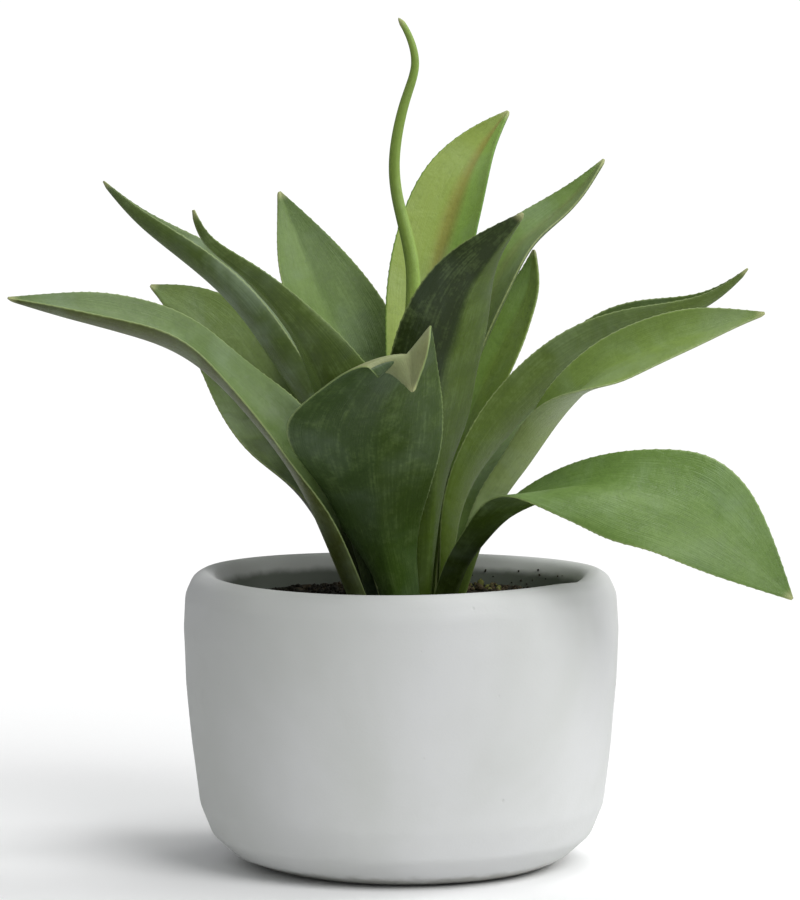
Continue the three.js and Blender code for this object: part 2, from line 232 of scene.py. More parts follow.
# ---------------------------------------------------------------- shader shorthand
def linear(tone: Tone) -> tuple[float, float, float, float]:
    """A display colour, 0 to 255 a channel, as a linear colour with alpha."""
    share = np.asarray(tone, dtype=float) / 255
    value = np.where(share <= 0.04045, share / 12.92, ((share + 0.055) / 1.055) ** 2.4)
    return (float(value[0]), float(value[1]), float(value[2]), 1.0)


class Graph:
    """Adds and links the nodes of one shader tree."""

    def __init__(self, tree: bpy.types.NodeTree) -> None:
        """Start on a tree and clear it."""
        self.tree = tree
        tree.nodes.clear()

    def add(self, kind: str, **settings: object) -> bpy.types.Node:
        """Add a node and set its properties by name."""
        node = self.tree.nodes.new(kind)
        for key, value in settings.items():
            setattr(node, key, value)
        return node

    def feed(self, target: Socket, value: Value) -> None:
        """Link a socket to the target, or set the target to a plain value."""
        if isinstance(value, bpy.types.NodeSocket):
            self.tree.links.new(value, target)
        else:
            target.default_value = value

    def math(self, operation: str, one: Value, two: Value = 0.0, clamp: bool = False) -> Socket:
        """One arithmetic step on two values.

        Args:
            operation: The Math node's operation.
            one: First value.
            two: Second value.
            clamp: Whether the result stays within 0 to 1.

        Returns:
            The result.
        """
        node = self.add("ShaderNodeMath", operation=operation, use_clamp=clamp)
        self.feed(node.inputs[0], one)
        self.feed(node.inputs[1], two)
        return node.outputs[0]

    def rise(self, value: Value, low: Value, high: Value, out: tuple = (0.0, 1.0)) -> Socket:
        """Smooth step: out[0] below low, out[1] above high, an S-curve between.

        Args:
            value: The value read.
            low: Where the step starts.
            high: Where the step ends.
            out: Results before and after the step.

        Returns:
            The stepped value.
        """
        node = self.add("ShaderNodeMapRange", interpolation_type="SMOOTHSTEP")
        for index, item in enumerate((value, low, high, *out)):
            self.feed(node.inputs[index], item)
        return node.outputs[0]

    def mix(self, share: Value, one: Value, two: Value, blend: str = "MIX") -> Socket:
        """Blend two colours.

        Args:
            share: How much of the second colour, 0 to 1.
            one: First colour.
            two: Second colour.
            blend: Blend type.

        Returns:
            The blended colour.
        """
        node = self.add("ShaderNodeMix", data_type="RGBA", blend_type=blend)
        self.feed(node.inputs[0], share)
        self.feed(node.inputs[6], one)
        self.feed(node.inputs[7], two)
        return node.outputs[2]

    def place(self) -> Socket:
        """Object coordinates, in metres."""
        return self.add("ShaderNodeTexCoord").outputs["Object"]

    def stretch(self, vector: Value, scale: tuple[float, float, float]) -> Socket:
        """A vector scaled along each axis."""
        node = self.add("ShaderNodeMapping")
        self.feed(node.inputs["Vector"], vector)
        node.inputs["Scale"].default_value = scale
        return node.outputs[0]

    def noise(self, vector: Value, scale: Value, detail: float = 3.0, warp: float = 0.0) -> Socket:
        """Fractal noise.

        Args:
            vector: Where it is read.
            scale: Waves per unit.
            detail: Octaves.
            warp: How much the pattern is bent by itself.

        Returns:
            A value round 0.5.
        """
        node = self.add("ShaderNodeTexNoise")
        self.feed(node.inputs["Vector"], vector)
        self.feed(node.inputs["Scale"], scale)
        node.inputs["Detail"].default_value = detail
        node.inputs["Distortion"].default_value = warp
        return node.outputs[0]

    def spots(self, vector: Value, scale: Value) -> Socket:
        """Distance to the nearest of many scattered points."""
        node = self.add("ShaderNodeTexVoronoi")
        self.feed(node.inputs["Vector"], vector)
        self.feed(node.inputs["Scale"], scale)
        return node.outputs[0]

    def bump(self, height: Value, distance: float, strength: float = 1.0) -> Socket:
        """A normal bent by a height.

        Args:
            height: The height, 0 to 1.
            distance: What a height of 1 is, in metres.
            strength: Share of the effect.

        Returns:
            The normal.
        """
        node = self.add("ShaderNodeBump")
        node.inputs["Strength"].default_value = strength
        node.inputs["Distance"].default_value = distance
        self.feed(node.inputs["Height"], height)
        return node.outputs[0]


@dataclass(frozen=True)
class Effect:
    """A shader node group with named inputs and outputs.

    Args:
        name: Name of the group.
        inputs: Input names with their socket kinds and first values.
        outputs: Output names with their socket kinds.
        fill: Function that draws the inside and gives the output values by name.
    """

    name: str
    inputs: dict[str, tuple[str, object]]
    outputs: dict[str, str]
    fill: Callable[[Graph, Callable[[str], Socket]], dict[str, Socket]]

    def group(self) -> bpy.types.NodeTree:
        """The group, built when it is first asked for."""
        known = bpy.data.node_groups.get(self.name)
        if known:
            return known
        tree = bpy.data.node_groups.new(self.name, "ShaderNodeTree")
        for name, (kind, value) in self.inputs.items():
            socket = tree.interface.new_socket(name=name, in_out="INPUT", socket_type=kind)
            socket.default_value = value
        for name, kind in self.outputs.items():
            tree.interface.new_socket(name=name, in_out="OUTPUT", socket_type=kind)
        graph = Graph(tree)
        entry = graph.add("NodeGroupInput")
        results = self.fill(graph, lambda name: entry.outputs[name])
        leave = graph.add("NodeGroupOutput")
        for name, value in results.items():
            graph.feed(leave.inputs[name], value)
        return tree

    def use(self, graph: Graph, **values: Value) -> bpy.types.Node:
        """Place the group in a material.

        Args:
            graph: The material's graph.
            values: Input values by name, with underscores for spaces.

        Returns:
            The group node.
        """
        node = graph.add("ShaderNodeGroup", node_tree=self.group())
        for name, value in values.items():
            graph.feed(node.inputs[name.replace("_", " ")], value)
        return node


def surface(name: str) -> tuple[bpy.types.Material, Graph, bpy.types.Node]:
    """A new material with one Principled BSDF.

    Args:
        name: Name of the material.

    Returns:
        The material, its graph and its shader node.
    """
    material = bpy.data.materials.new(name)
    material.use_nodes = True
    graph = Graph(material.node_tree)
    shader = graph.add("ShaderNodeBsdfPrincipled")
    ending = graph.add("ShaderNodeOutputMaterial")
    graph.feed(ending.inputs["Surface"], shader.outputs[0])
    return material, graph, shader


FLOAT = "NodeSocketFloat"
COLOUR = "NodeSocketColor"


# ---------------------------------------------------------------- shared effects
def fill_leaf_skin(graph: Graph, ask: Callable[[str], Socket]) -> dict[str, Socket]:
    """Colour, gloss and relief of a fleshy leaf.

    The surface coordinates run along the leaf and across it, and the attribute "side" is +1
    above and -1 below. The four face tones meet at the midrib; they carry painted shade on
    some halves and lower faces, and painted light shining through on the back leaves. The base
    tone fades out up the leaf, and on leaves deep in the crown it is painted shade; the edge
    tone keeps to the margin; a drifting pale waxy coat, partly a painted highlight, greys
    patches; streaks that run along the leaf and small speckles vary the rest.

    Args:
        graph: The group's graph.
        ask: Gives an input of the group by name.

    Returns:
        Colour, roughness and height.
    """
    coords = graph.add("ShaderNodeUVMap", uv_map="surface").outputs[0]
    split = graph.add("ShaderNodeSeparateXYZ")
    graph.feed(split.inputs[0], coords)
    along = split.outputs[0]
    across = graph.math("SUBTRACT", graph.math("MULTIPLY", split.outputs[1], 2.0), 1.0)
    away = graph.math("ABSOLUTE", across)
    side = graph.add("ShaderNodeAttribute", attribute_name="side").outputs["Fac"]
    above = graph.rise(side, -0.2, 0.2)

    place = graph.place()
    drift = graph.noise(place, 55.0, 3.0, 0.6)
    patch = graph.noise(place, 170.0, 4.0, 0.4)
    speckle = graph.noise(place, 900.0, 2.0)
    streaks = graph.noise(graph.stretch(coords, (5.0, 42.0, 1.0)), 1.0, 4.0, 0.3)
    veins = graph.noise(graph.stretch(coords, (9.0, 150.0, 1.0)), 1.0, 2.0)

    bend = graph.math("MULTIPLY", graph.math("SUBTRACT", drift, 0.5), 0.35)
    lean = graph.math("ADD", across, bend)
    # Left and right tones; on some leaves one of them is painted shade.
    to_left = graph.rise(lean, -0.12, 0.12)
    upper = graph.mix(to_left, ask("Upper Right"), ask("Upper Left"))
    lower = graph.mix(to_left, ask("Lower Right"), ask("Lower Left"))
    colour = graph.mix(above, lower, upper)

    band = graph.rise(graph.math("ADD", away, graph.math("MULTIPLY", bend, 0.4)), 0.0, 0.3, (1.0, 0.0))
    rib = graph.math("MULTIPLY", graph.math("MULTIPLY", band, above), ask("Rib Share"))
    colour = graph.mix(rib, colour, ask("Rib"))

    wander = graph.math("MULTIPLY", graph.math("SUBTRACT", patch, 0.5), 0.25)
    # Base tone from the foot up: a paler real foot on some leaves, painted shade in the crown on others.
    foot = graph.rise(graph.math("ADD", along, wander), 0.0, ask("Base Length"), (1.0, 0.0))
    colour = graph.mix(foot, colour, ask("Base"))

    light = graph.math("MULTIPLY", graph.math("SUBTRACT", streaks, 0.5), 0.7)
    light = graph.math("ADD", light, graph.math("MULTIPLY", graph.math("SUBTRACT", patch, 0.5), 0.9))
    light = graph.math("MULTIPLY", light, ask("Mottle"))
    light = graph.math("ADD", light, graph.math("MULTIPLY", graph.math("SUBTRACT", speckle, 0.5), 0.25))
    bright = graph.math("MAXIMUM", light, 0.0)
    dim = graph.math("MAXIMUM", graph.math("MULTIPLY", light, -1.0), 0.0)
    colour = graph.mix(graph.math("MULTIPLY", bright, 1.0, True), colour, (0.33, 0.47, 0.16, 1.0))
    colour = graph.mix(graph.math("MULTIPLY", dim, 1.4, True), colour, (0.012, 0.03, 0.006, 1.0))

    # Pale bluish patches: a real waxy coat, partly a painted highlight.
    bloom_highlight_mask = graph.rise(drift, 0.42, 0.72)
    bloom_highlight_mask = graph.math("MULTIPLY", bloom_highlight_mask, ask("Bloom"))
    bloom_highlight_mask = graph.math("MULTIPLY", bloom_highlight_mask, graph.rise(streaks, 0.2, 0.8, (0.6, 1.0)))
    colour = graph.mix(bloom_highlight_mask, colour, (0.36, 0.45, 0.38, 1.0))

    ragged = graph.math("MULTIPLY", graph.math("SUBTRACT", speckle, 0.5), 0.03)
    margin = graph.rise(graph.math("ADD", away, ragged), 0.965, 0.995)
    colour = graph.mix(graph.math("MULTIPLY", margin, 0.75), colour, ask("Edge"))
    point = graph.rise(along, 0.975, 0.998)
    colour = graph.mix(graph.math("MULTIPLY", point, 0.8), colour, (0.42, 0.44, 0.2, 1.0))

    gloss = graph.math("ADD", ask("Gloss"), graph.math("MULTIPLY", bloom_highlight_mask, 0.25))
    gloss = graph.math("ADD", gloss, graph.math("MULTIPLY", graph.math("SUBTRACT", patch, 0.5), 0.25), True)
    height = graph.math("MULTIPLY", veins, 0.5)
    height = graph.math("ADD", height, graph.math("MULTIPLY", speckle, 0.25))
    height = graph.math("ADD", height, graph.math("MULTIPLY", patch, 1.5))
    return {"Colour": colour, "Roughness": gloss, "Height": height}


LEAF_SKIN = Effect(
    "Leaf skin",
    {
        "Upper Left": (COLOUR, (0.1, 0.2, 0.05, 1.0)),
        "Upper Right": (COLOUR, (0.1, 0.2, 0.05, 1.0)),
        "Lower Left": (COLOUR, (0.08, 0.15, 0.04, 1.0)),
        "Lower Right": (COLOUR, (0.08, 0.15, 0.04, 1.0)),
        "Rib": (COLOUR, (0.3, 0.35, 0.1, 1.0)),
        "Rib Share": (FLOAT, 0.0),
        "Base": (COLOUR, (0.25, 0.3, 0.1, 1.0)),
        "Base Length": (FLOAT, 0.2),
        "Edge": (COLOUR, (0.3, 0.4, 0.25, 1.0)),
        "Mottle": (FLOAT, 0.5),
        "Bloom": (FLOAT, 0.2),
        "Gloss": (FLOAT, 0.42),
    },
    {"Colour": COLOUR, "Roughness": FLOAT, "Height": FLOAT},
    fill_leaf_skin,
)


def fill_mineral_grain(graph: Graph, ask: Callable[[str], Socket]) -> dict[str, Socket]:
    """Clouds, grain and pits of a cast or crumbled mineral.

    Clouds are slow warped noise, grain is fine noise, and a pit is the close surroundings
    of a scattered point, kept only where slow noise is high.

    Args:
        graph: The group's graph.
        ask: Gives an input of the group by name.

    Returns:
        Cloud, grain and pit, each 0 to 1.
    """
    place = graph.place()
    cloud = graph.noise(place, ask("Cloud Scale"), 4.0, 0.5)
    grain = graph.noise(place, ask("Grain Scale"), 3.0)
    near = graph.rise(graph.spots(place, ask("Pit Scale")), 0.06, 0.16, (1.0, 0.0))
    some = graph.rise(graph.noise(place, ask("Pit Scale"), 1.0), 0.66, 0.74)
    return {"Cloud": cloud, "Grain": grain, "Pit": graph.math("MULTIPLY", near, some)}


MINERAL_GRAIN = Effect(
    "Mineral grain",
    {"Cloud Scale": (FLOAT, 20.0), "Grain Scale": (FLOAT, 1500.0), "Pit Scale": (FLOAT, 300.0)},
    {"Cloud": FLOAT, "Grain": FLOAT, "Pit": FLOAT},
    fill_mineral_grain,
)


# ---------------------------------------------------------------- finishes
@dataclass(frozen=True)
class LeafFinish:
    """Tones of one leaf, left and right as seen from the plant's middle; on some leaves the two halves
    differ as painted light and shade.

    Args:
        upper: Tones of the upper face, left half and right half; on the back leaves raised as painted light
            shining through.
        lower: Tones of the lower face, left half and right half; on some leaves darkened as painted shade.
        base: Tone of the foot of the leaf; where the foot lies deep in the crown it is a dark painted shade.
        base_length: Share of the leaf that the base tone fades over.
        rib: Tone of the band along the midrib.
        rib_share: Strength of that band.
        edge: Tone of the margin.
        mottle: Strength of streaks and patches.
        bloom_and_highlight: Strength of the pale waxy coat, partly a painted bluish highlight.
        gloss: Roughness of the clean skin.
    """

    upper: tuple[Tone, Tone]
    lower: tuple[Tone, Tone]
    base: Tone = (102, 118, 44)
    base_length: float = 0.25
    rib: Tone = (120, 130, 56)
    rib_share: float = 0.0
    edge: Tone = (142, 156, 102)
    mottle: float = 0.45
    bloom_and_highlight: float = 0.12
    gloss: float = 0.42

    def material(self, name: str) -> bpy.types.Material:
        """Build the leaf's material.

        Args:
            name: Name of the material.

        Returns:
            The material.
        """
        material, graph, shader = surface(name)
        skin = LEAF_SKIN.use(
            graph,
            Upper_Left=linear(self.upper[0]),
            Upper_Right=linear(self.upper[1]),
            Lower_Left=linear(self.lower[0]),
            Lower_Right=linear(self.lower[1]),
            Rib=linear(self.rib),
            Rib_Share=self.rib_share,
            Base=linear(self.base),
            Base_Length=self.base_length,
            Edge=linear(self.edge),
            Mottle=self.mottle,
            Bloom=self.bloom_and_highlight,
            Gloss=self.gloss,
        )
        graph.feed(shader.inputs["Base Color"], skin.outputs["Colour"])
        graph.feed(shader.inputs["Roughness"], skin.outputs["Roughness"])
        graph.feed(shader.inputs["Normal"], graph.bump(skin.outputs["Height"], 0.00022))
        shader.inputs["Specular IOR Level"].default_value = 0.3
        shader.inputs["Sheen Weight"].default_value = 0.02
        shader.inputs["Sheen Roughness"].default_value = 0.45
        return material


@dataclass(frozen=True)
class ConcreteFinish:
    """Smooth hand-rubbed concrete: pale clouds, a scuff, a worn foot, fine pits and painted shade down the
    inner wall.

    Args:
        light: Tone of the pale clouds.
        dark: Tone of the darker clouds.
        worn: Tone of the scraped foot and of pits.
        inside: Tone of the painted shade on the inner wall, reached a few mm below the rim.
    """

    light: Tone = (205, 206, 206)
    dark: Tone = (193, 195, 192)
    worn: Tone = (150, 150, 143)
    inside: Tone = (108, 114, 104)

    def material(self, name: str) -> bpy.types.Material:
        """Build the concrete.

        Args:
            name: Name of the material.

        Returns:
            The material.
        """
        material, graph, shader = surface(name)
        grain = MINERAL_GRAIN.use(graph, Cloud_Scale=14.0, Grain_Scale=1300.0, Pit_Scale=210.0)
        cloud = graph.rise(grain.outputs["Cloud"], 0.3, 0.7)
        colour = graph.mix(cloud, linear(self.dark), linear(self.light))
        place = graph.place()
        axes = graph.add("ShaderNodeSeparateXYZ")
        graph.feed(axes.inputs[0], place)
        ragged = graph.noise(place, 160.0, 4.0)
        rough_height = graph.math("ADD", axes.outputs[2], graph.math("MULTIPLY", ragged, 0.004))
        foot = graph.rise(rough_height, 0.0026, 0.0062, (1.0, 0.0))
        colour = graph.mix(graph.math("MULTIPLY", foot, 0.75), colour, linear(self.worn))
        rubbed = graph.rise(graph.noise(graph.stretch(place, (1.0, 1.0, 2.5)), 24.0, 2.0), 0.62, 0.78)
        scuff = graph.math("MULTIPLY", rubbed, graph.rise(ragged, 0.45, 0.7))
        colour = graph.mix(graph.math("MULTIPLY", scuff, 0.1), colour, linear(self.worn))
        colour = graph.mix(graph.math("MULTIPLY", grain.outputs["Pit"], 0.12), colour, linear(self.worn))
        # Painted shade: the inner wall darkens below the rim, where the rim and leaves shade it.
        hollow = graph.add("ShaderNodeAttribute", attribute_name="inside").outputs["Fac"]
        painted_inner_shade = graph.rise(graph.math("ADD", hollow, graph.math("MULTIPLY", ragged, 0.3)), 0.55, 0.95)
        colour = graph.mix(painted_inner_shade, colour, linear(self.inside))
        graph.feed(shader.inputs["Base Color"], colour)
        gloss = graph.math("ADD", graph.math("MULTIPLY", grain.outputs["Cloud"], 0.15), 0.72)
        graph.feed(shader.inputs["Roughness"], gloss)
        relief = graph.math("MULTIPLY", grain.outputs["Grain"], 0.12)
        relief = graph.math("ADD", relief, graph.math("MULTIPLY", ragged, 0.35))
        relief = graph.math("ADD", relief, graph.math("MULTIPLY", graph.math("MULTIPLY", foot, ragged), 3.5))
        relief = graph.math("SUBTRACT", relief, graph.math("MULTIPLY", grain.outputs["Pit"], 0.4))
        graph.feed(shader.inputs["Normal"], graph.bump(relief, 0.0003))
        shader.inputs["Specular IOR Level"].default_value = 0.3
        return material


@dataclass(frozen=True)
class SoilFinish:
    """Loose potting soil, dark with paler and mossy grains.

    Args:
        dark: Tone of the peat.
        brown: Tone of the lighter crumbs.
        moss: Tone of the mossy crumbs.
    """

    dark: Tone = (34, 31, 22)
    brown: Tone = (84, 72, 50)
    moss: Tone = (120, 124, 62)

    def material(self, name: str) -> bpy.types.Material:
        """Build the soil; a point attribute "tone" picks from dark to mossy.

        Args:
            name: Name of the material.

        Returns:
            The material.
        """
        material, graph, shader = surface(name)
        grain = MINERAL_GRAIN.use(graph, Cloud_Scale=120.0, Grain_Scale=1700.0, Pit_Scale=600.0)
        tone = graph.add("ShaderNodeAttribute", attribute_name="tone").outputs["Fac"]
        tone = graph.math("ADD", tone, graph.math("MULTIPLY", grain.outputs["Cloud"], 0.3))
        colour = graph.mix(graph.rise(tone, 0.35, 0.75), linear(self.dark), linear(self.brown))
        colour = graph.mix(graph.rise(tone, 0.85, 1.1), colour, linear(self.moss))
        colour = graph.mix(graph.math("MULTIPLY", grain.outputs["Grain"], 0.35), colour, linear(self.dark))
        graph.feed(shader.inputs["Base Color"], colour)
        gloss = graph.math("ADD", graph.math("MULTIPLY", grain.outputs["Grain"], 0.2), 0.75)
        graph.feed(shader.inputs["Roughness"], gloss)
        relief = graph.math("SUBTRACT", grain.outputs["Grain"], grain.outputs["Pit"])
        graph.feed(shader.inputs["Normal"], graph.bump(relief, 0.0005))
        shader.inputs["Specular IOR Level"].default_value = 0.25
        return material


# ---------------------------------------------------------------- the pot and its soil
POT_RIM_HEIGHT = 88.0
POT_FLOOR = 9.0
POT_OUTSIDE = (
    (44.4, 0), (50.3, 2.6), (57.4, 9), (61, 18), (63.3, 36.5),
    (64.9, 55), (65.5, 71), (64.9, 81), (62.6, 86), (59.5, 88),
)
POT_INSIDE = ((56.4, 87), (54.2, 83.5), (53.2, 78), (52, 60), (48, 28), (40, 12), (28, 9))
DENT_ANGLE = -22.0
DENT_SPREAD = 11.0
DENT_DEPTH = 1.6


def turn_from(angle: np.ndarray, degrees: float) -> np.ndarray:
    """Signed turn in degrees from a direction to each angle, within half a turn."""
    gap = angle - math.radians(degrees)
    return np.degrees(np.arctan2(np.sin(gap), np.cos(gap)))


def hand_formed(r: np.ndarray, z: np.ndarray, angle: np.ndarray) -> tuple[np.ndarray, np.ndarray]:
    """The wander of the pot's wall: never exactly round, with one pressed dent.

    The radius wanders by slow waves round the pot that grow with the square of the height,
    and loses a bell-shaped dent below the lip; the rim rises and falls by a slow wave and
    sinks where the dent is.

    Args:
        r: Radii in mm.
        z: Heights in mm.
        angle: Directions round the axis in radians.

    Returns:
        The moved radii and heights.
    """
    share = np.clip(z / POT_RIM_HEIGHT, 0, 1) ** 2
    wander = 0.35 * np.sin(2 * angle + 0.6) + 0.25 * np.sin(3 * angle - 1.1)
    dent = DENT_DEPTH * bell(turn_from(angle, DENT_ANGLE), DENT_SPREAD)
    high = 1 / (1 + np.exp(-(z - 80.0) * 2))
    lift = high * (0.5 * np.sin(2 * angle + 2.2) * share - 0.6 * dent)
    return r + wander * share - dent * bell(z - 79.0, 7.0), z + lift


def rounded_profile(points: Sequence, count: int, blur: float) -> np.ndarray:
    """A profile read at even steps of its length and softened by a bell of that width.

    Args:
        points: Radius and height pairs in mm.
        count: How many points to give.
        blur: Width of the softening in mm.

    Returns:
        The softened points.
    """
    line = np.asarray(points, dtype=float)
    run = np.concatenate([[0.0], np.cumsum(np.linalg.norm(np.diff(line, axis=0), axis=1))])
    place = np.linspace(0, run[-1], count)
    even = np.stack([np.interp(place, run, line[:, axis]) for axis in range(2)], -1)
    weights = bell(place[:, None] - place[None, :], blur)
    soft = weights @ even / weights.sum(axis=1, keepdims=True)
    pinned = np.exp(-np.minimum(place, run[-1] - place) / blur)[:, None]
    return soft * (1 - pinned) + even * pinned


@dataclass
class Pot:
    """The hand-formed bowl-shaped pot, one shell from foot to floor.

    Args:
        around: Points round the axis.
        stations: Points along the profile.
        step_angle: Direction of the foot's visible step in degrees.
        step_depth: How far the step is set back, in mm.
        finish: The concrete.
    """

    around: int = 288
    stations: int = 250
    step_angle: float = 222.0
    step_depth: float = 1.5
    finish: ConcreteFinish = field(default_factory=ConcreteFinish)

    def skin(self) -> tuple[np.ndarray, np.ndarray]:
        """The pot's surface: the softened profile turned about the axis.

        The profile runs from the middle of the underside up the outside, over the rim and
        down to the middle of the floor. The hand-formed wander moves it, the inner lip is
        drawn in to a firmer edge on the right, the foot has a shallow step on the left, and
        slow waves of a fifth of a millimetre run over the wall.

        Returns:
            The rings in mm, and how far inside each point is, 0 to 1.
        """
        profile = rounded_profile(
            ((2.0, 0.0),) + POT_OUTSIDE + POT_INSIDE + ((2.0, POT_FLOOR),), self.stations, 1.3
        )
        r, z = profile[:, :1], profile[:, 1:]
        angle = np.linspace(0, 2 * np.pi, self.around, endpoint=False)[None, :]
        radius, height = hand_formed(r, z, angle)
        order = np.arange(self.stations)[:, None]
        crest = int(np.argmax(profile[:, 1]))
        inner = np.clip((order - crest) / 6.0, 0, 1)
        firm = bell(turn_from(angle, -4.0), 34.0) * inner * bell(z - 87.0, 2.6)
        radius = radius - 1.3 * firm
        height = height + 0.5 * firm
        set_back = bell(turn_from(angle, self.step_angle), 26.0) * (order < crest)
        foot = 1 / (1 + np.exp((z - 2.6) * 3.5)) * (r > 30)
        radius = radius - self.step_depth * set_back * foot
        waves = np.sin(3 * angle + z / 17 + 1.0) * np.sin(z / 23 + 0.4)
        waves = waves + 0.6 * np.sin(7 * angle - z / 11) * np.sin(z / 9)
        radius = radius + 0.12 * waves * (order < crest) * np.clip(z / 30, 0, 1)
        rings = np.stack([radius * np.cos(angle), radius * np.sin(angle), height + 0 * radius], -1)
        deep = np.clip((POT_RIM_HEIGHT - 0.6 - z) / 7.0, 0, 1) * (order > crest)
        return rings, deep + 0 * angle

    def build(self) -> None:
        """Make the pot and dress it."""
        rings, deep = self.skin()
        piece = closed_skin("pot_shell", rings, layers={"inside": deep})
        settle(piece, Slot.CONCRETE, self.finish.material("rubbed_concrete"), "pot")


@dataclass
class SoilBed:
    """The soil that fills the pot, with loose crumbs on it and on the wall above it.

    Args:
        radius: Radius of the bed at its surface, in mm.
        level: Mean height of its surface, in mm.
        depth: How deep the modelled soil goes, in mm; not used.
        crumbs: Number of loose crumbs.
        stuck: Number of crumbs stuck on the wall.
        seed: Seed of the scatter.
        finish: The soil.
    """

    radius: float = 52.7
    level: float = 78.0
    depth: float = 66.0
    crumbs: int = 2600
    stuck: int = 26
    seed: int = 41
    finish: SoilFinish = field(default_factory=SoilFinish)

    def surface_height(self, x: np.ndarray, y: np.ndarray) -> np.ndarray:
        """Height of the bed in mm: crossing waves of three sizes round the mean level.

        Args:
            x: Places across in mm.
            y: Places in depth in mm.

        Returns:
            Heights in mm.
        """
        broad = 0.35 * np.sin(x / 9 + 0.4) * np.cos(y / 8 - 0.7)
        lumps = 0.3 * np.sin(x / 2.1 + np.sin(y / 3.3)) * np.sin(y / 1.9 + np.sin(x / 2.7))
        fine = 0.16 * np.sin(x * 1.9 + y) * np.sin(y * 2.3 - x * 0.7)
        return self.level + broad + lumps + fine

    def bed(self) -> np.ndarray:
        """Rings of the bed: its rough surface out to the wall, then down and back.

        Returns:
            The rings in mm.
        """
        out = np.linspace(0.3, self.radius, 120)
        down = np.array([
            [52.4, 74], [51.4, 60], [49.4, 42], [47.4, 28.2],
            [43.6, 20], [39.4, 12.6], [27, 9.6], [2, 9.6],
        ])
        angle = np.linspace(0, 2 * np.pi, 240, endpoint=False)[None, :]
        r = np.concatenate([out, down[:, 0]])[:, None]
        base = np.concatenate([np.full(120, self.level), down[:, 1]])[:, None]
        radius, height = hand_formed(r, base, angle)
        radius = np.where(r > 20, radius, r)
        x = radius * np.cos(angle)
        y = radius * np.sin(angle)
        top = np.arange(len(r))[:, None] < 120
        level = self.surface_height(x, y) + 0.7 * np.clip((r - 46) / 7, 0, 1) ** 2
        return np.stack([x, y, np.where(top, level, height)], -1)

    def crumb_shapes(self, places: np.ndarray, sizes: np.ndarray, rng: np.random.Generator) -> tuple:
        """Lumpy crumbs, each a twenty-sided ball stretched, dented and turned at random.

        Args:
            places: Middles in mm.
            sizes: Radii in mm.
            rng: Seeded random numbers.

        Returns:
            All points in metres and all faces.
        """
        g = (1 + 5**0.5) / 2
        ball = unit(np.array([
            [-1, g, 0], [1, g, 0], [-1, -g, 0], [1, -g, 0], [0, -1, g], [0, 1, g],
            [0, -1, -g], [0, 1, -g], [g, 0, -1], [g, 0, 1], [-g, 0, -1], [-g, 0, 1],
        ], dtype=float))
        sides = np.array([
            [0, 11, 5], [0, 5, 1], [0, 1, 7], [0, 7, 10], [0, 10, 11],
            [1, 5, 9], [5, 11, 4], [11, 10, 2], [10, 7, 6], [7, 1, 8],
            [3, 9, 4], [3, 4, 2], [3, 2, 6], [3, 6, 8], [3, 8, 9],
            [4, 9, 5], [2, 4, 11], [6, 2, 10], [8, 6, 7], [9, 8, 1],
        ])
        count = len(places)
        stretch = rng.uniform(0.6, 1.25, (count, 1, 3))
        dents = rng.uniform(0.72, 1.12, (count, 12, 1))
        frames = np.linalg.qr(rng.normal(size=(count, 3, 3)))[0]
        frames *= np.sign(np.linalg.det(frames))[:, None, None]
        lumps = (ball[None] * stretch * dents) @ frames * sizes[:, None, None]
        points = (lumps + places[:, None, :]).reshape(-1, 3) * MM
        faces = (sides[None] + 12 * np.arange(count)[:, None, None]).reshape(-1, 3)
        return points, faces

    def scatter(self, rng: np.random.Generator) -> tuple[np.ndarray, np.ndarray, np.ndarray]:
        """Where the crumbs lie: evenly over the bed, and some stuck on the wall above it.

        Args:
            rng: Seeded random numbers.

        Returns:
            Middles and radii in mm, and the tone of each crumb.
        """
        r = 3 + (self.radius - 4.2) * np.sqrt(rng.uniform(0, 1, self.crumbs))
        angle = rng.uniform(0, 2 * np.pi, self.crumbs)
        x = r * np.cos(angle)
        y = r * np.sin(angle)
        sizes = np.clip(0.62 * np.exp(rng.normal(0, 0.38, self.crumbs)), 0.3, 1.5)
        level = self.surface_height(x, y) + 0.7 * np.clip((r - 46) / 7, 0, 1) ** 2
        z = level + sizes * rng.uniform(0.0, 0.6, self.crumbs)
        patch = 0.5 + 0.5 * np.sin(x / 7 + 1.3) * np.sin(y / 9 + 0.4)
        moss = bell(np.hypot(x - 27, y - 40), 11.0)
        tone = 0.75 * rng.uniform(0, 1, self.crumbs) * patch + 0.75 * moss * rng.uniform(0.5, 1, self.crumbs)
        lean = np.radians(rng.uniform(25, 100, self.stuck))
        rise = rng.uniform(79.5, 84.5, self.stuck)
        wall = np.interp(rise, (78.0, 83.5), (53.2, 54.2))
        radius, height = hand_formed(wall, rise, lean)
        small = rng.uniform(0.25, 0.6, self.stuck)
        places = np.stack([radius * np.cos(lean), radius * np.sin(lean), height], -1)
        all_places = np.concatenate([np.stack([x, y, z], -1), places])
        all_tones = np.concatenate([tone, rng.uniform(0, 0.4, self.stuck)])
        return all_places, np.concatenate([sizes, small]), all_tones

    def build(self) -> None:
        """Make the bed and its crumbs and dress both."""
        material = self.finish.material("potting_soil_grains")
        rings = self.bed()
        tones = 0.25 + 0.2 * np.sin(rings[..., 0] / 6) * np.sin(rings[..., 1] / 5)
        bed = closed_skin("soil_bed", rings, layers={"tone": tones})
        settle(bed, Slot.SOIL, material, "soil")
        rng = np.random.default_rng(self.seed)
        places, sizes, tone = self.scatter(rng)
        points, faces = self.crumb_shapes(places, sizes, rng)
        piece = skin_object("soil_crumbs", points, faces.tolist())
        data = piece.data.attributes.new("tone", "FLOAT", "POINT").data
        data.foreach_set("value", np.repeat(tone, 12).astype(np.float32))
        settle(piece, Slot.SOIL, material)
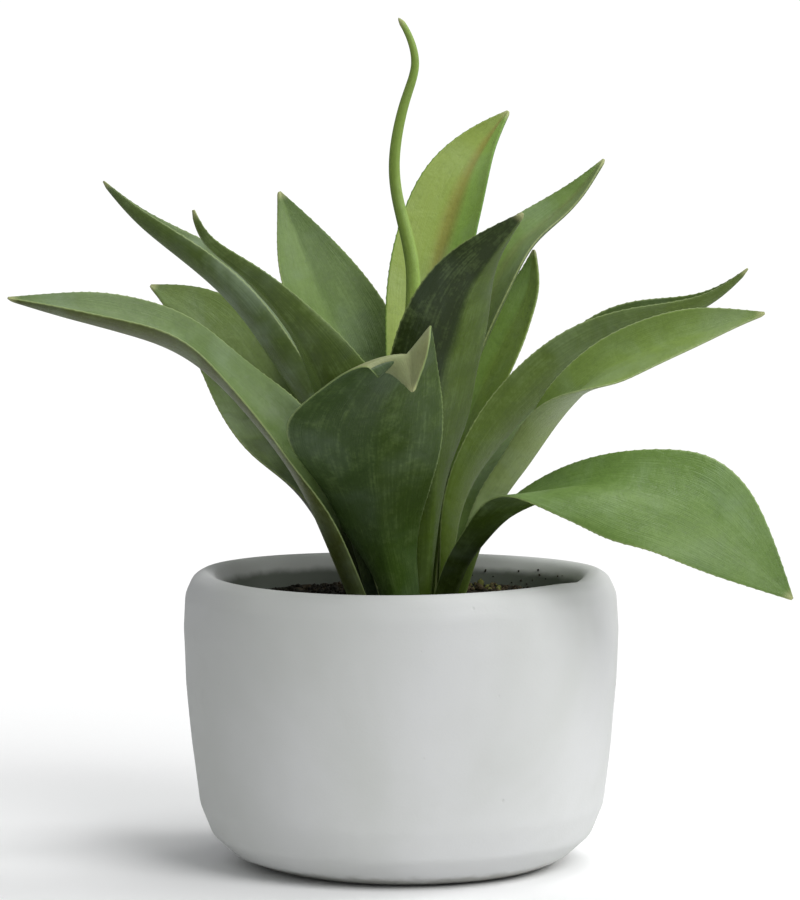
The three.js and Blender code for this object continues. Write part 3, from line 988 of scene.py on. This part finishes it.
# Young pale green, brightened by painted light shining through from above and behind.
SPEAR = LeafFinish(
    upper=((140, 168, 78), (136, 164, 74)), lower=((134, 160, 70), (128, 154, 64)),
    base=(190, 212, 100), base_length=0.6, edge=(95, 115, 45), mottle=0.2, bloom_and_highlight=0.05, gloss=0.4,
)
# The upper face's left half, on the side towards the light, is a touch lighter: painted light.
FRONT_FOLDED = LeafFinish(
    upper=((145, 150, 100), (138, 144, 95)), lower=((60, 80, 28), (60, 80, 38)),
    base=(65, 92, 28), base_length=0.4, edge=(130, 150, 90), mottle=0.5, bloom_and_highlight=0.1, gloss=0.4,
)
LEFT_LOW = LeafFinish(
    upper=((105, 126, 70), (96, 118, 64)), lower=((75, 84, 30), (125, 130, 84)),
    base=(92, 106, 50), base_length=0.2, edge=(145, 162, 105), mottle=0.35, bloom_and_highlight=0.2, gloss=0.38,
)
# Dark lower face and foot: painted shade under the leaf's arching neck.
RIGHT_DROOPING = LeafFinish(
    upper=((95, 124, 54), (100, 128, 60)), lower=((50, 68, 12), (55, 74, 15)),
    base=(50, 66, 14), base_length=0.3, edge=(138, 158, 96), mottle=0.4, bloom_and_highlight=0.14, gloss=0.4,
)
FRONT_LEFT = LeafFinish(
    upper=((78, 98, 44), (78, 98, 40)), lower=((74, 93, 30), (96, 115, 46)),
    base=(58, 76, 20), base_length=0.4, edge=(120, 138, 78), mottle=0.75, bloom_and_highlight=0.1, gloss=0.42,
)
# The very dark right half of the lower face is painted shade on the side turned from the light.
FRONT_RIGHT = LeafFinish(
    upper=((82, 104, 38), (90, 112, 42)), lower=((78, 97, 36), (36, 50, 8)),
    base=(84, 108, 30), base_length=0.5, edge=(130, 148, 84), mottle=0.5, bloom_and_highlight=0.08, gloss=0.42,
)
# Own green, brightened by painted light shining through from above and behind.
RIGHT_MIDDLE = LeafFinish(
    upper=((114, 138, 63), (120, 144, 68)), lower=((120, 142, 70), (134, 152, 90)),
    base=(92, 116, 38), base_length=0.4, edge=(152, 166, 114), mottle=0.35, bloom_and_highlight=0.16, gloss=0.4,
)
RIGHT_UPPER = LeafFinish(
    upper=((88, 110, 48), (88, 110, 48)), lower=((82, 102, 40), (88, 108, 42)),
    base=(106, 130, 44), base_length=0.45, edge=(138, 155, 98), mottle=0.45, bloom_and_highlight=0.14, gloss=0.42,
)
# Dark foot: painted shade deep in the crown.
LEFT_UPPER = LeafFinish(
    upper=((108, 128, 82), (104, 124, 76)), lower=((76, 95, 36), (76, 95, 36)),
    base=(42, 58, 16), base_length=0.45, edge=(145, 160, 105), mottle=0.4, bloom_and_highlight=0.3, gloss=0.42,
)
# Very dark foot fading far up the leaf: painted shadow cast by the leaves in front of it.
BACK_LEFT_LOW = LeafFinish(
    upper=((94, 116, 52), (94, 115, 50)), lower=((58, 74, 20), (58, 74, 20)),
    base=(20, 28, 4), base_length=0.75, edge=(130, 145, 88), mottle=0.4, bloom_and_highlight=0.12, gloss=0.42,
)
# Dark foot: painted shade deep in the crown.
BACK_LEFT = LeafFinish(
    upper=((98, 122, 58), (84, 108, 45)), lower=((68, 90, 34), (68, 90, 34)),
    base=(42, 56, 14), base_length=0.75, edge=(130, 148, 84), mottle=0.35, bloom_and_highlight=0.12, gloss=0.42,
)
# Own yellow-green, brightened by painted light shining through; the greener right half holds a painted
# highlight.
BACK_TALL = LeafFinish(
    upper=((150, 170, 80), (145, 180, 84)), lower=((100, 128, 52), (100, 128, 52)),
    base=(135, 158, 52), base_length=0.4, rib=(150, 140, 68), rib_share=0.75,
    edge=(95, 132, 48), mottle=0.35, bloom_and_highlight=0.14, gloss=0.42,
)
RIGHT_BACK = LeafFinish(
    upper=((103, 129, 58), (114, 134, 74)), lower=((80, 100, 38), (80, 100, 38)),
    base=(82, 104, 35), base_length=0.4, rib=(110, 112, 66), rib_share=0.3,
    edge=(130, 140, 90), mottle=0.5, bloom_and_highlight=0.16, gloss=0.42,
)
# Own green, brightened by painted light shining through from above and behind.
BACK_RIGHT = LeafFinish(
    upper=((114, 144, 62), (120, 146, 58)), lower=((84, 106, 40), (84, 106, 40)),
    base=(108, 136, 46), base_length=0.4, edge=(130, 148, 84), mottle=0.4, bloom_and_highlight=0.12, gloss=0.42,
)
REAR = LeafFinish(
    upper=((100, 124, 56), (94, 118, 52)), lower=((74, 94, 34), (78, 98, 36)),
    base=(70, 92, 30), base_length=0.3, edge=(134, 152, 92), mottle=0.45, bloom_and_highlight=0.16, gloss=0.42,
)
REAR_LEFT = LeafFinish(
    upper=((94, 118, 55), (90, 115, 50)), lower=((70, 92, 34), (70, 92, 34)),
    base=(68, 88, 28), base_length=0.3, edge=(134, 152, 92), mottle=0.5, bloom_and_highlight=0.18, gloss=0.42,
)
REAR_RIGHT = LeafFinish(
    upper=((96, 120, 55), (100, 124, 58)), lower=((75, 95, 36), (75, 95, 36)),
    base=(70, 92, 30), base_length=0.3, edge=(134, 152, 92), mottle=0.42, bloom_and_highlight=0.14, gloss=0.42,
)


# ---------------------------------------------------------------- leaves
V_SHARE = 0.35
MIDRIB_THICK = 2.6
BASE_THICK = 2.8
MARGIN_THICK = 0.9


@dataclass(frozen=True)
class LeafGrowth:
    """How one leaf has grown.

    Args:
        node: Model node of the leaf.
        facing: Direction it faces away from the crown, in degrees.
        finish: Its tones.
        path: Midrib points from base to tip in mm.
        roll: Turn about the midrib at even steps, in degrees.
        left: Half widths of the left half at even steps, in mm.
        right: Half widths of the right half.
        fold_left: How far the left half is folded up, in degrees.
        fold_right: How far the right half is folded up.
        curl_left: How much of the left fold is a curve, in degrees.
        curl_right: How much of the right fold is a curve.
    """

    node: str
    facing: float
    finish: LeafFinish
    path: tuple
    roll: tuple
    left: tuple
    right: tuple
    fold_left: tuple
    fold_right: tuple
    curl_left: Optional[tuple] = None
    curl_right: Optional[tuple] = None


LEAVES = (
    LeafGrowth(
        node="leaf_front_folded", facing=268, finish=FRONT_FOLDED,
        path=((1, -14, 74), (-5, -21, 98), (-7, -28, 113), (-8, -38, 127),
              (-6, -50, 140), (-1, -60, 152), (2, -67, 157), (3, -72, 147)),
        roll=(0, 0, 0, 2, 10, 38, 45),
        left=(5.5, 9, 13, 18, 21.5, 20, 13.5, 0.4), right=(5.5, 7.5, 13.5, 20, 26, 21, 14.5, 0.4),
        fold_left=(30, 30, 15, 15, 20, 10, 5), fold_right=(30, 30, 15, 8, 8, 14, 5),
        curl_left=(20, 20, 10, 10, 10, 5, 0), curl_right=(20, 20, 10, 5, -20, -30, -15),
    ),
    LeafGrowth(
        node="leaf_left_low", facing=188, finish=LEFT_LOW,
        path=((-11, -4, 73), (-19, -15, 94), (-30, -22, 118), (-43, -28, 137),
              (-61, -32, 154), (-79, -35, 162), (-97, -37, 167), (-115, -36, 172)),
        roll=(10, 0, -28, -24, -14, -14, -12),
        left=(4.5, 5.5, 8, 10, 11, 11, 7, 0.4), right=(4.5, 6, 12, 16, 15, 14, 11, 0.4),
        fold_left=(30, 32, 34, 20, 30, 34, 34), fold_right=(30, 32, 34, 20, 30, 34, 34),
    ),
    LeafGrowth(
        node="leaf_right_drooping", facing=326, finish=RIGHT_DROOPING,
        path=((12, -10, 73), (17, -18, 90), (24, -26, 101), (35, -36, 111),
              (55, -48, 118), (72, -56, 116), (90, -62, 108), (112, -66, 87)),
        roll=(-10, 0, 22, 40, 45, 45),
        left=(4.5, 5.5, 7, 10, 14.5, 19, 11, 0.4), right=(4.5, 5.5, 8, 15, 19, 18, 12, 0.4),
        fold_left=(30, 30, 30, 10, 0, 0, 5), fold_right=(30, 30, 40, 5, 0, 0, 5),
        curl_left=(10, 15, 20, 20, 10, 5, 5), curl_right=(10, 15, 0, -30, -5, 0, 0),
    ),
    LeafGrowth(
        node="leaf_front_left", facing=222, finish=FRONT_LEFT,
        path=((-3, -7, 75), (-8, -14, 105), (-18, -26, 134), (-26, -34, 155),
              (-37, -40, 171), (-47, -46, 181), (-56, -49, 189), (-60, -50, 198)),
        roll=(0, 0, 0, 5, 5, 5),
        left=(3.4, 5, 12, 18, 12.5, 7, 4, 0.4), right=(3.4, 5, 9, 11, 8, 4.5, 3.5, 0.4),
        fold_left=(30, 35, 40, 40, 30, 20), fold_right=(30, 30, 20, 15, 15, 20),
    ),
    LeafGrowth(
        node="leaf_front_right", facing=305, finish=FRONT_RIGHT,
        path=((6, -8, 75), (8, -16, 108), (10, -26, 135),
              (14, -34, 158), (20, -40, 176), (28, -44, 188), (35, -46, 197)),
        roll=(0, 0, 0, 0, 0, 0),
        left=(3.4, 4.8, 9, 14.5, 18, 18, 10.5, 0.4), right=(3.4, 4.4, 8, 14, 17, 16, 10, 0.4),
        fold_left=(30, 30, 20, 20, 25, 35), fold_right=(30, 30, 20, 20, 25, 35),
    ),
    LeafGrowth(
        node="leaf_right_middle", facing=352, finish=RIGHT_MIDDLE,
        path=((15, -3, 74), (25, -10, 104), (36, -14, 121), (47, -17, 137),
              (61, -18, 150), (76, -20, 157), (91, -22, 162), (107, -24, 167)),
        roll=(-20, -15, -10, 15, 25, 25),
        left=(4.5, 5.5, 8, 11, 10.5, 10, 8.5, 0.4), right=(4.5, 5.5, 7, 9.5, 17, 16, 8, 0.4),
        fold_left=(30, 30, 40, 40, 40, 30), fold_right=(30, 30, 45, 10, 5, 5),
    ),
    LeafGrowth(
        node="leaf_right_upper", facing=8, finish=RIGHT_UPPER,
        path=((13, 3, 75), (16, 4, 104), (26, 6, 123), (40, 8, 138),
              (55, 8, 151), (72, 6, 160), (91, 4, 168), (104, 2, 179)),
        roll=(-10, -15, -25, -30, -20, -10),
        left=(4, 4.5, 7, 11, 15, 14, 6.5, 0.4), right=(4.5, 5.5, 10, 13, 13, 10, 5, 0.4),
        fold_left=(30, 30, 40, 60, 70, 45), fold_right=(30, 30, 40, 40, 45, 50),
    ),
    LeafGrowth(
        node="leaf_left_upper", facing=178, finish=LEFT_UPPER,
        path=((-7, 0, 75), (-15, -2, 103), (-23, -2, 128), (-34, 0, 146),
              (-48, 2, 166), (-64, 5, 181), (-79, 8, 193), (-90, 10, 205)),
        roll=(10, 5, 0, -5, -8, -8, -5),
        left=(3.4, 4.4, 7, 9, 10, 9, 6, 0.4), right=(3.4, 4.4, 8, 14, 16, 13, 7, 0.4),
        fold_left=(30, 30, 55, 60, 60, 60, 60), fold_right=(30, 30, 50, 50, 45, 40, 40),
    ),
    LeafGrowth(
        node="leaf_back_left_low", facing=160, finish=BACK_LEFT_LOW,
        path=((-11, 5, 74), (-23, 9, 102), (-36, 20, 126),
              (-47, 28, 142), (-58, 36, 157), (-68, 42, 166), (-78, 46, 172)),
        roll=(0, -15, -35, -40, -45, -45),
        left=(4.5, 5, 9, 15.5, 15.5, 12, 8, 0.4), right=(4.5, 5.5, 9, 13, 15, 15, 11, 0.4),
        fold_left=(30, 30, 20, 10, 10, 10), fold_right=(30, 30, 20, 10, 10, 10),
    ),
    LeafGrowth(
        node="leaf_back_left", facing=122, finish=BACK_LEFT,
        path=((-4, 7, 76), (-7, 13, 108), (-12, 24, 132),
              (-18, 34, 153), (-25, 42, 169), (-33, 48, 188), (-38, 50, 201)),
        roll=(0, 0, 0, 0, 0, 0),
        left=(3.4, 4.4, 8, 15, 18, 17, 11, 0.4), right=(3.4, 4.4, 8, 14, 19, 18, 11, 0.4),
        fold_left=(30, 30, 20, 15, 15, 15), fold_right=(30, 30, 20, 15, 15, 15),
    ),
    LeafGrowth(
        node="leaf_back_tall", facing=62, finish=BACK_TALL,
        path=((4, 8, 76), (7, 16, 132), (9, 24, 156), (11, 31, 176),
              (15, 36, 192), (20, 40, 205), (26, 44, 216), (33, 46, 226)),
        roll=(0, 0, 0, 0, 0, 0),
        left=(3.4, 4.4, 8, 13, 15, 15, 12, 0.4), right=(3.2, 3.6, 5.5, 11, 18, 18, 11.5, 0.4),
        fold_left=(30, 30, 35, 30, 30, 30), fold_right=(30, 30, 35, 30, 30, 30),
    ),
    LeafGrowth(
        node="leaf_right_back", facing=38, finish=RIGHT_BACK,
        path=((9, 2, 76), (13, 13, 122), (18, 23, 146), (26, 31, 166),
              (34, 39, 182), (45, 46, 192), (55, 50, 201), (63, 53, 211)),
        roll=(0, 0, 5, 10, 10, 5),
        left=(3.2, 3.6, 5.5, 10, 11, 10, 7, 0.4), right=(3.4, 4.4, 7, 10, 14, 13.5, 9, 0.4),
        fold_left=(30, 30, 30, 30, 25, 25), fold_right=(30, 30, 30, 30, 25, 25),
    ),
    LeafGrowth(
        node="leaf_back_right", facing=55, finish=BACK_RIGHT,
        path=((9, 10, 75), (15, 21, 108), (20, 28, 130),
              (27, 34, 146), (34, 40, 160), (39, 44, 171), (41, 47, 183)),
        roll=(0, 0, 0, 0, 0, 0),
        left=(4.5, 5.5, 9, 13, 16, 14, 8, 0.4), right=(4, 4.5, 5.5, 7, 9.5, 10, 6.5, 0.4),
        fold_left=(30, 30, 20, 15, 15, 15), fold_right=(30, 30, 20, 15, 15, 15),
    ),
    LeafGrowth(
        node="leaf_rear", facing=95, finish=REAR,
        path=((-1, 14, 74), (-1, 22, 100), (-3, 38, 122), (-5, 56, 140), (-7, 74, 152), (-9, 90, 158)),
        roll=(0, 5, 5, 0, -5, -5),
        left=(4, 5, 11, 15, 15, 9, 0.4), right=(4.5, 5.5, 11, 15, 15, 9, 0.4),
        fold_left=(30, 30, 25, 20, 20, 20), fold_right=(30, 30, 25, 20, 20, 20),
    ),
    LeafGrowth(
        node="leaf_rear_left", facing=114, finish=REAR_LEFT,
        path=((-8, 11, 73), (-14, 24, 93), (-21, 42, 110), (-28, 60, 122), (-33, 76, 124), (-37, 90, 120)),
        roll=(0, 0, 5, 10, 10, 5),
        left=(4.5, 5.5, 11, 14, 14, 9, 0.4), right=(4, 5, 11, 14, 14, 9, 0.4),
        fold_left=(30, 30, 20, 15, 10, 10), fold_right=(30, 30, 20, 15, 10, 10),
    ),
    LeafGrowth(
        node="leaf_rear_right", facing=66, finish=REAR_RIGHT,
        path=((6, 15, 73), (17, 24, 95), (26, 42, 115), (34, 60, 128), (40, 76, 134), (44, 90, 134)),
        roll=(0, 0, -5, -5, 0, 0),
        left=(4.5, 5.5, 11, 14, 14, 9, 0.4), right=(4.5, 5.5, 11, 14, 14, 9, 0.4),
        fold_left=(30, 30, 20, 15, 15, 15), fold_right=(30, 30, 20, 15, 15, 15),
    ),
)


@dataclass
class Leaf:
    """One leaf as a closed skin carried along its midrib.

    Args:
        growth: How it has grown.
        stations: Rings along the leaf.
        around: Points round each ring.
        tooth_pitch: Mean distance between margin teeth in mm.
        tooth_height: How far a tooth stands out in mm.
    """

    growth: LeafGrowth
    stations: int = 380
    around: int = 44
    tooth_pitch: float = 2.5
    tooth_height: float = 0.19

    def halves(self, share: np.ndarray, left: np.ndarray) -> tuple[np.ndarray, np.ndarray, np.ndarray]:
        """Half width, fold and curl of the half that each point lies on.

        Args:
            share: Places along the leaf.
            left: Whether each point round the ring is on the left half.

        Returns:
            Width in mm, fold and curl in radians, rings by points around.
        """
        g = self.growth
        fold_left = np.radians(spline(g.fold_left, share))
        fold_right = np.radians(spline(g.fold_right, share))
        curl_left = (1 - V_SHARE) * fold_left
        curl_right = (1 - V_SHARE) * fold_right
        if g.curl_left:
            curl_left = np.radians(spline(g.curl_left, share))
            curl_right = np.radians(spline(g.curl_right, share))
        pairs = (
            (np.maximum(spline(g.left, share), 0.4), np.maximum(spline(g.right, share), 0.4)),
            (fold_left, fold_right),
            (curl_left, curl_right),
        )
        return tuple(np.where(left, one[:, None], two[:, None]) for one, two in pairs)

    def teeth(self, run: np.ndarray, away: np.ndarray, share: np.ndarray) -> np.ndarray:
        """How far each point is drawn out by the margin's fine teeth.

        Narrow peaks stand at an uneven pitch along the margin, vanish towards the base and
        the very tip, and fade within a hair of the edge.

        Args:
            run: Distance along the leaf in mm.
            away: Share of the half width from midrib to margin.
            share: Place along the leaf.

        Returns:
            Distances in mm.
        """
        beat = run / self.tooth_pitch + 0.35 * np.sin(run / 6.1) + 0.2 * np.sin(run / 2.7)
        saw = np.abs(2 * (beat - np.floor(beat)) - 1)
        peak = np.clip(saw * 2.4 - 1.4, 0, 1)
        grown = np.clip((share - 0.1) / 0.15, 0, 1) * np.clip((1 - share) / 0.03, 0, 1)
        return self.tooth_height * peak * grown * away**30

    def skin(self) -> tuple[np.ndarray, np.ndarray, np.ndarray]:
        """The leaf's surface.

        Each ring goes once round the leaf: v = cos(turn) runs from the left margin to the
        right one and back, above for the first half of the turn and below for the second.
        A half's middle line is an arc whose slope grows from (fold - curl) at the midrib to
        (fold + curl) at the margin. The skin lies off it by a thickness that falls from the
        midrib to the margin with 1 - v squared and rounds off at the edge. A groove runs
        along the midrib above and a keel below, the margins wave a little, and teeth draw
        the edge out.

        Returns:
            Rings in mm, surface coordinates, and the side, +1 above and -1 below.
        """
        share = np.linspace(0, 1, self.stations)
        centre, tangent, length = Path(self.growth.path).walk(share)
        facing = math.radians(self.growth.facing)
        level = np.array([-math.sin(facing), math.cos(facing), 0.0])
        flat = unit(level - tangent * dots(tangent, level))
        up = np.cross(tangent, flat)
        roll = np.radians(spline(self.growth.roll, share))[:, None]
        side = flat * np.cos(roll) + up * np.sin(roll)
        normal = np.cross(tangent, side)

        turn = 2 * np.pi * np.arange(self.around) / self.around
        v = np.cos(turn)[None, :]
        sign = np.where(v >= 0, 1.0, -1.0)
        away = np.abs(v)
        half, fold, curl = self.halves(share, v >= 0)
        start = fold - curl
        sweep = np.where(np.abs(curl) < 1e-4, 2e-4, 2 * curl)
        slope = start + sweep * away
        across = half * (np.sin(slope) - np.sin(start)) / sweep
        rise = half * (np.cos(start) - np.cos(slope)) / sweep

        u = share[:, None]
        rib = (BASE_THICK + (MIDRIB_THICK - BASE_THICK) * np.minimum(1, 4 * u)) * (1 - 0.55 * u)
        thick = MARGIN_THICK + (rib - MARGIN_THICK) * (1 - v**2)
        reach = np.minimum(thick, 1.2 * half) / 2
        lift = np.sin(turn)[None, :]
        rounding = np.sign(lift) * (1 - (1 - np.abs(lift)) ** 4)
        offset = reach * (rounding - 0.4)
        ridge = bell(v * half, 1.3) * np.clip(half / 6, 0, 1)
        offset = offset - 0.28 * ridge * (lift > 0.3) * (1 - 0.6 * u) - 0.3 * ridge * (lift < -0.3)
        phase = self.growth.facing
        wave = np.sin(2 * np.pi * 2.6 * u + phase) * sign + 0.6 * np.sin(2 * np.pi * 4.3 * u - 2 * phase)
        offset = offset + 0.4 * wave * away**3 * 4 * u * (1 - u)

        grow = self.teeth(share[:, None] * length + 0.9 * sign, away, u)
        out_side = np.cos(slope) * sign * grow - np.sin(slope) * sign * offset
        out_up = np.sin(slope) * grow + np.cos(slope) * offset
        rings = (
            centre[:, None, :]
            + side[:, None, :] * (across * sign + out_side)[..., None]
            + normal[:, None, :] * (rise + out_up)[..., None]
        )
        grid = np.stack([u + 0 * v, 0.5 + 0.5 * v + 0 * u], -1)
        return rings, grid, np.clip(3 * lift, -1, 1) + 0 * u

    def build(self) -> None:
        """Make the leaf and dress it."""
        rings, grid, side = self.skin()
        name = self.growth.node.replace("leaf_", "blade_")
        piece = closed_skin(name, rings, grid, {"side": side})
        material = self.growth.finish.material(name.replace("blade_", "skin_"))
        settle(piece, Slot.LEAF, material, self.growth.node)
        low, high = (np.array(list(corner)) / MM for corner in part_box(self.growth.node))
        over = max((rings.min(axis=(0, 1)) * -1 + low).max(), (rings.max(axis=(0, 1)) - high).max())
        log.info("    stands %.1f mm outside its model node at most", over)


@dataclass
class SpearLeaf:
    """The youngest leaf, still rolled into a thin wavering spear.

    Args:
        path: Its line in mm.
        radius: Its radius at even steps in mm.
        stations: Rings along it.
        around: Points round each ring.
    """

    path: tuple = (
        (1, 2, 89), (2, 4, 124), (3, 6, 160), (3, 7, 181), (-1, 7, 199), (-2, 6, 214),
        (1, 5, 229), (4, 4, 240), (2, 4, 249), (-1, 4, 254),
    )
    radius: tuple = (3.2, 3, 2.8, 2.6, 2.3, 2.1, 1.85, 1.65, 1.35, 0.9)
    stations: int = 260
    around: int = 32

    def skin(self) -> tuple[np.ndarray, np.ndarray, np.ndarray]:
        """The spear's surface: a tube along its line whose rolled edge winds slowly round it.

        The radius is the given one, less a narrow groove at the rolled edge and with a soft
        ridge beside it. The tip is closed to a blunt point.

        Returns:
            Rings in mm, surface coordinates, and the side attribute.
        """
        share = np.linspace(0, 1, self.stations)
        centre, tangent, _ = Path(self.path).walk(share)
        right = unit(np.cross(np.array([0.0, 1.0, 0.0]), tangent))
        back = np.cross(tangent, right)
        turn = 2 * np.pi * np.arange(self.around) / self.around
        u = share[:, None]
        seam = np.radians(250 + 170 * u)
        gap = np.arctan2(np.sin(turn - seam), np.cos(turn - seam))
        girth = 1 - 0.1 * bell(gap, 0.22) + 0.05 * bell(gap - 0.5, 0.4) - 0.03
        r = spline(self.radius, share)[:, None] * girth
        r = r * np.sqrt(np.clip((1 - u) / 0.012, 0.02, 1))
        rings = (
            centre[:, None, :]
            + right[:, None, :] * (r * np.cos(turn))[..., None]
            + back[:, None, :] * (r * np.sin(turn))[..., None]
        )
        grid = np.stack([u + 0 * turn, 0.5 + 0.35 * np.cos(gap)], -1)
        return rings, grid, np.cos(turn) + 0 * u

    def build(self) -> None:
        """Make the spear and dress it."""
        rings, grid, side = self.skin()
        piece = closed_skin("spear", rings, grid, {"side": side})
        settle(piece, Slot.YOUNG, SPEAR.material("skin_spear"), "spear_leaf")


@dataclass
class CrownStem:
    """The short stem deep between the leaf bases; its model node keeps its shape."""

    node: str = "crown_stem"

    def build(self) -> None:
        """Give the stem a pale fibrous green."""
        material, graph, shader = surface("pale_stem")
        grain = MINERAL_GRAIN.use(graph, Cloud_Scale=150.0, Grain_Scale=900.0, Pit_Scale=400.0)
        colour = graph.mix(grain.outputs["Cloud"], linear((120, 128, 66)), linear((168, 172, 112)))
        graph.feed(shader.inputs["Base Color"], colour)
        graph.feed(shader.inputs["Normal"], graph.bump(grain.outputs["Grain"], 0.0003))
        shader.inputs["Roughness"].default_value = 0.6
        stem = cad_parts[self.node]
        stem.data.materials.clear()
        stem.data.materials.append(material)
        log.info("%-22s dressed", self.node)


@dataclass
class Rosette:
    """All the leaves of the plant round its crown."""

    leaves: tuple[LeafGrowth, ...]

    def build(self) -> None:
        """Make every leaf, then the spear and the stem."""
        for growth in self.leaves:
            Leaf(growth).build()
        SpearLeaf().build()
        CrownStem().build()


# ---------------------------------------------------------------- the studio
@dataclass
class Studio:
    """Plain pale floor, soft light from the upper right and a long-lens camera.

    Args:
        floor_radius: Radius of the round floor in metres.
        camera_at: Place of the camera in metres.
        camera_tilt: How far it looks below the horizontal, in degrees.
        lens: Focal length in mm on a 36 mm high sensor.
    """

    floor_radius: float = 0.62
    camera_at: tuple[float, float, float] = (-0.0005, -1.3, 0.232)
    camera_tilt: float = 4.73
    lens: float = 173.3

    def floor(self) -> None:
        """A round level floor just under the pot's foot, fading into the white surround."""
        angle = np.linspace(0, 2 * np.pi, 96, endpoint=False)
        edge = np.stack([np.cos(angle), np.sin(angle), 0 * angle], -1) * self.floor_radius
        floor = skin_object("studio_floor", edge - [0, 0, 0.0004], [list(range(len(edge)))])
        material, graph, shader = surface("pale_floor")
        place = graph.place()
        tint = graph.noise(place, 3.0, 2.0)
        colour = graph.mix(tint, (0.93, 0.93, 0.93, 1.0), (0.96, 0.96, 0.96, 1.0))
        graph.feed(shader.inputs["Base Color"], colour)
        reach = graph.add("ShaderNodeVectorMath", operation="LENGTH")
        graph.feed(reach.inputs[0], place)
        fade = graph.rise(reach.outputs["Value"], 0.1, self.floor_radius * 0.9, (1.0, 0.0))
        graph.feed(shader.inputs["Alpha"], fade)
        shader.inputs["Roughness"].default_value = 0.9
        shader.inputs["Specular IOR Level"].default_value = 0.1
        floor.data.materials.append(material)

    def sky(self) -> None:
        """An even white surround, brighter to the eye than the light it gives."""
        world = bpy.data.worlds.new("studio_white")
        world.use_nodes = True
        graph = Graph(world.node_tree)
        seen = graph.add("ShaderNodeBackground")
        seen.inputs["Color"].default_value = (1, 1, 1, 1)
        seen.inputs["Strength"].default_value = 1.05
        given = graph.add("ShaderNodeBackground")
        given.inputs["Color"].default_value = (0.97, 0.99, 1.0, 1)
        given.inputs["Strength"].default_value = 0.36
        pick = graph.add("ShaderNodeMixShader")
        graph.feed(pick.inputs[0], graph.add("ShaderNodeLightPath").outputs["Is Camera Ray"])
        graph.feed(pick.inputs[1], given.outputs[0])
        graph.feed(pick.inputs[2], seen.outputs[0])
        graph.feed(graph.add("ShaderNodeOutputWorld").inputs["Surface"], pick.outputs[0])
        bpy.context.scene.world = world

    def lamp(self, name: str, at: Sequence, target: Sequence, size: float, watts: float) -> None:
        """A soft square lamp.

        Args:
            name: Name of the lamp.
            at: Its place in metres.
            target: What it points at.
            size: Its width in metres.
            watts: Its power.
        """
        light = bpy.data.lights.new(name, "AREA")
        light.shape = "DISK"
        light.size = size
        light.energy = watts
        lamp = bpy.data.objects.new(name, light)
        lamp.location = at
        back = np.array(at, dtype=float) - np.array(target, dtype=float)
        pitch = math.acos(back[2] / np.linalg.norm(back))
        lamp.rotation_euler = (pitch, 0.0, math.atan2(back[1], back[0]) + math.pi / 2)
        bpy.context.scene.collection.objects.link(lamp)

    def camera(self) -> None:
        """The camera, level from side to side and tilted slightly down."""
        data = bpy.data.cameras.new("camera")
        data.sensor_fit = "VERTICAL"
        data.sensor_height = 36.0
        data.lens = self.lens
        data.clip_start = 0.05
        data.clip_end = 50.0
        camera = bpy.data.objects.new("camera", data)
        camera.location = self.camera_at
        camera.rotation_euler = (math.radians(90 - self.camera_tilt), 0.0, 0.0)
        bpy.context.scene.collection.objects.link(camera)
        bpy.context.scene.camera = camera

    def build(self) -> None:
        """Set up floor, surround, lamps and camera."""
        self.camera()
        self.floor()
        self.sky()
        self.lamp("key", (0.9, -1.2, 1.3), (0.0, 0.0, 0.1), 1.2, 21.5)
        self.lamp("top", (0.35, 0.2, 1.7), (0.0, 0.0, 0.1), 0.8, 11.0)
        self.lamp("side", (1.3, 0.3, 0.7), (0.0, 0.0, 0.12), 0.7, 8.0)
        bpy.context.scene.view_settings.view_transform = "Standard"


def main() -> None:
    """Build the studio, the pot, the soil and the rosette in order."""
    logging.basicConfig(level=logging.INFO, format="%(message)s")
    Studio().build()
    Pot().build()
    SoilBed().build()
    Rosette(LEAVES).build()


if __name__ == "__main__":
    main()
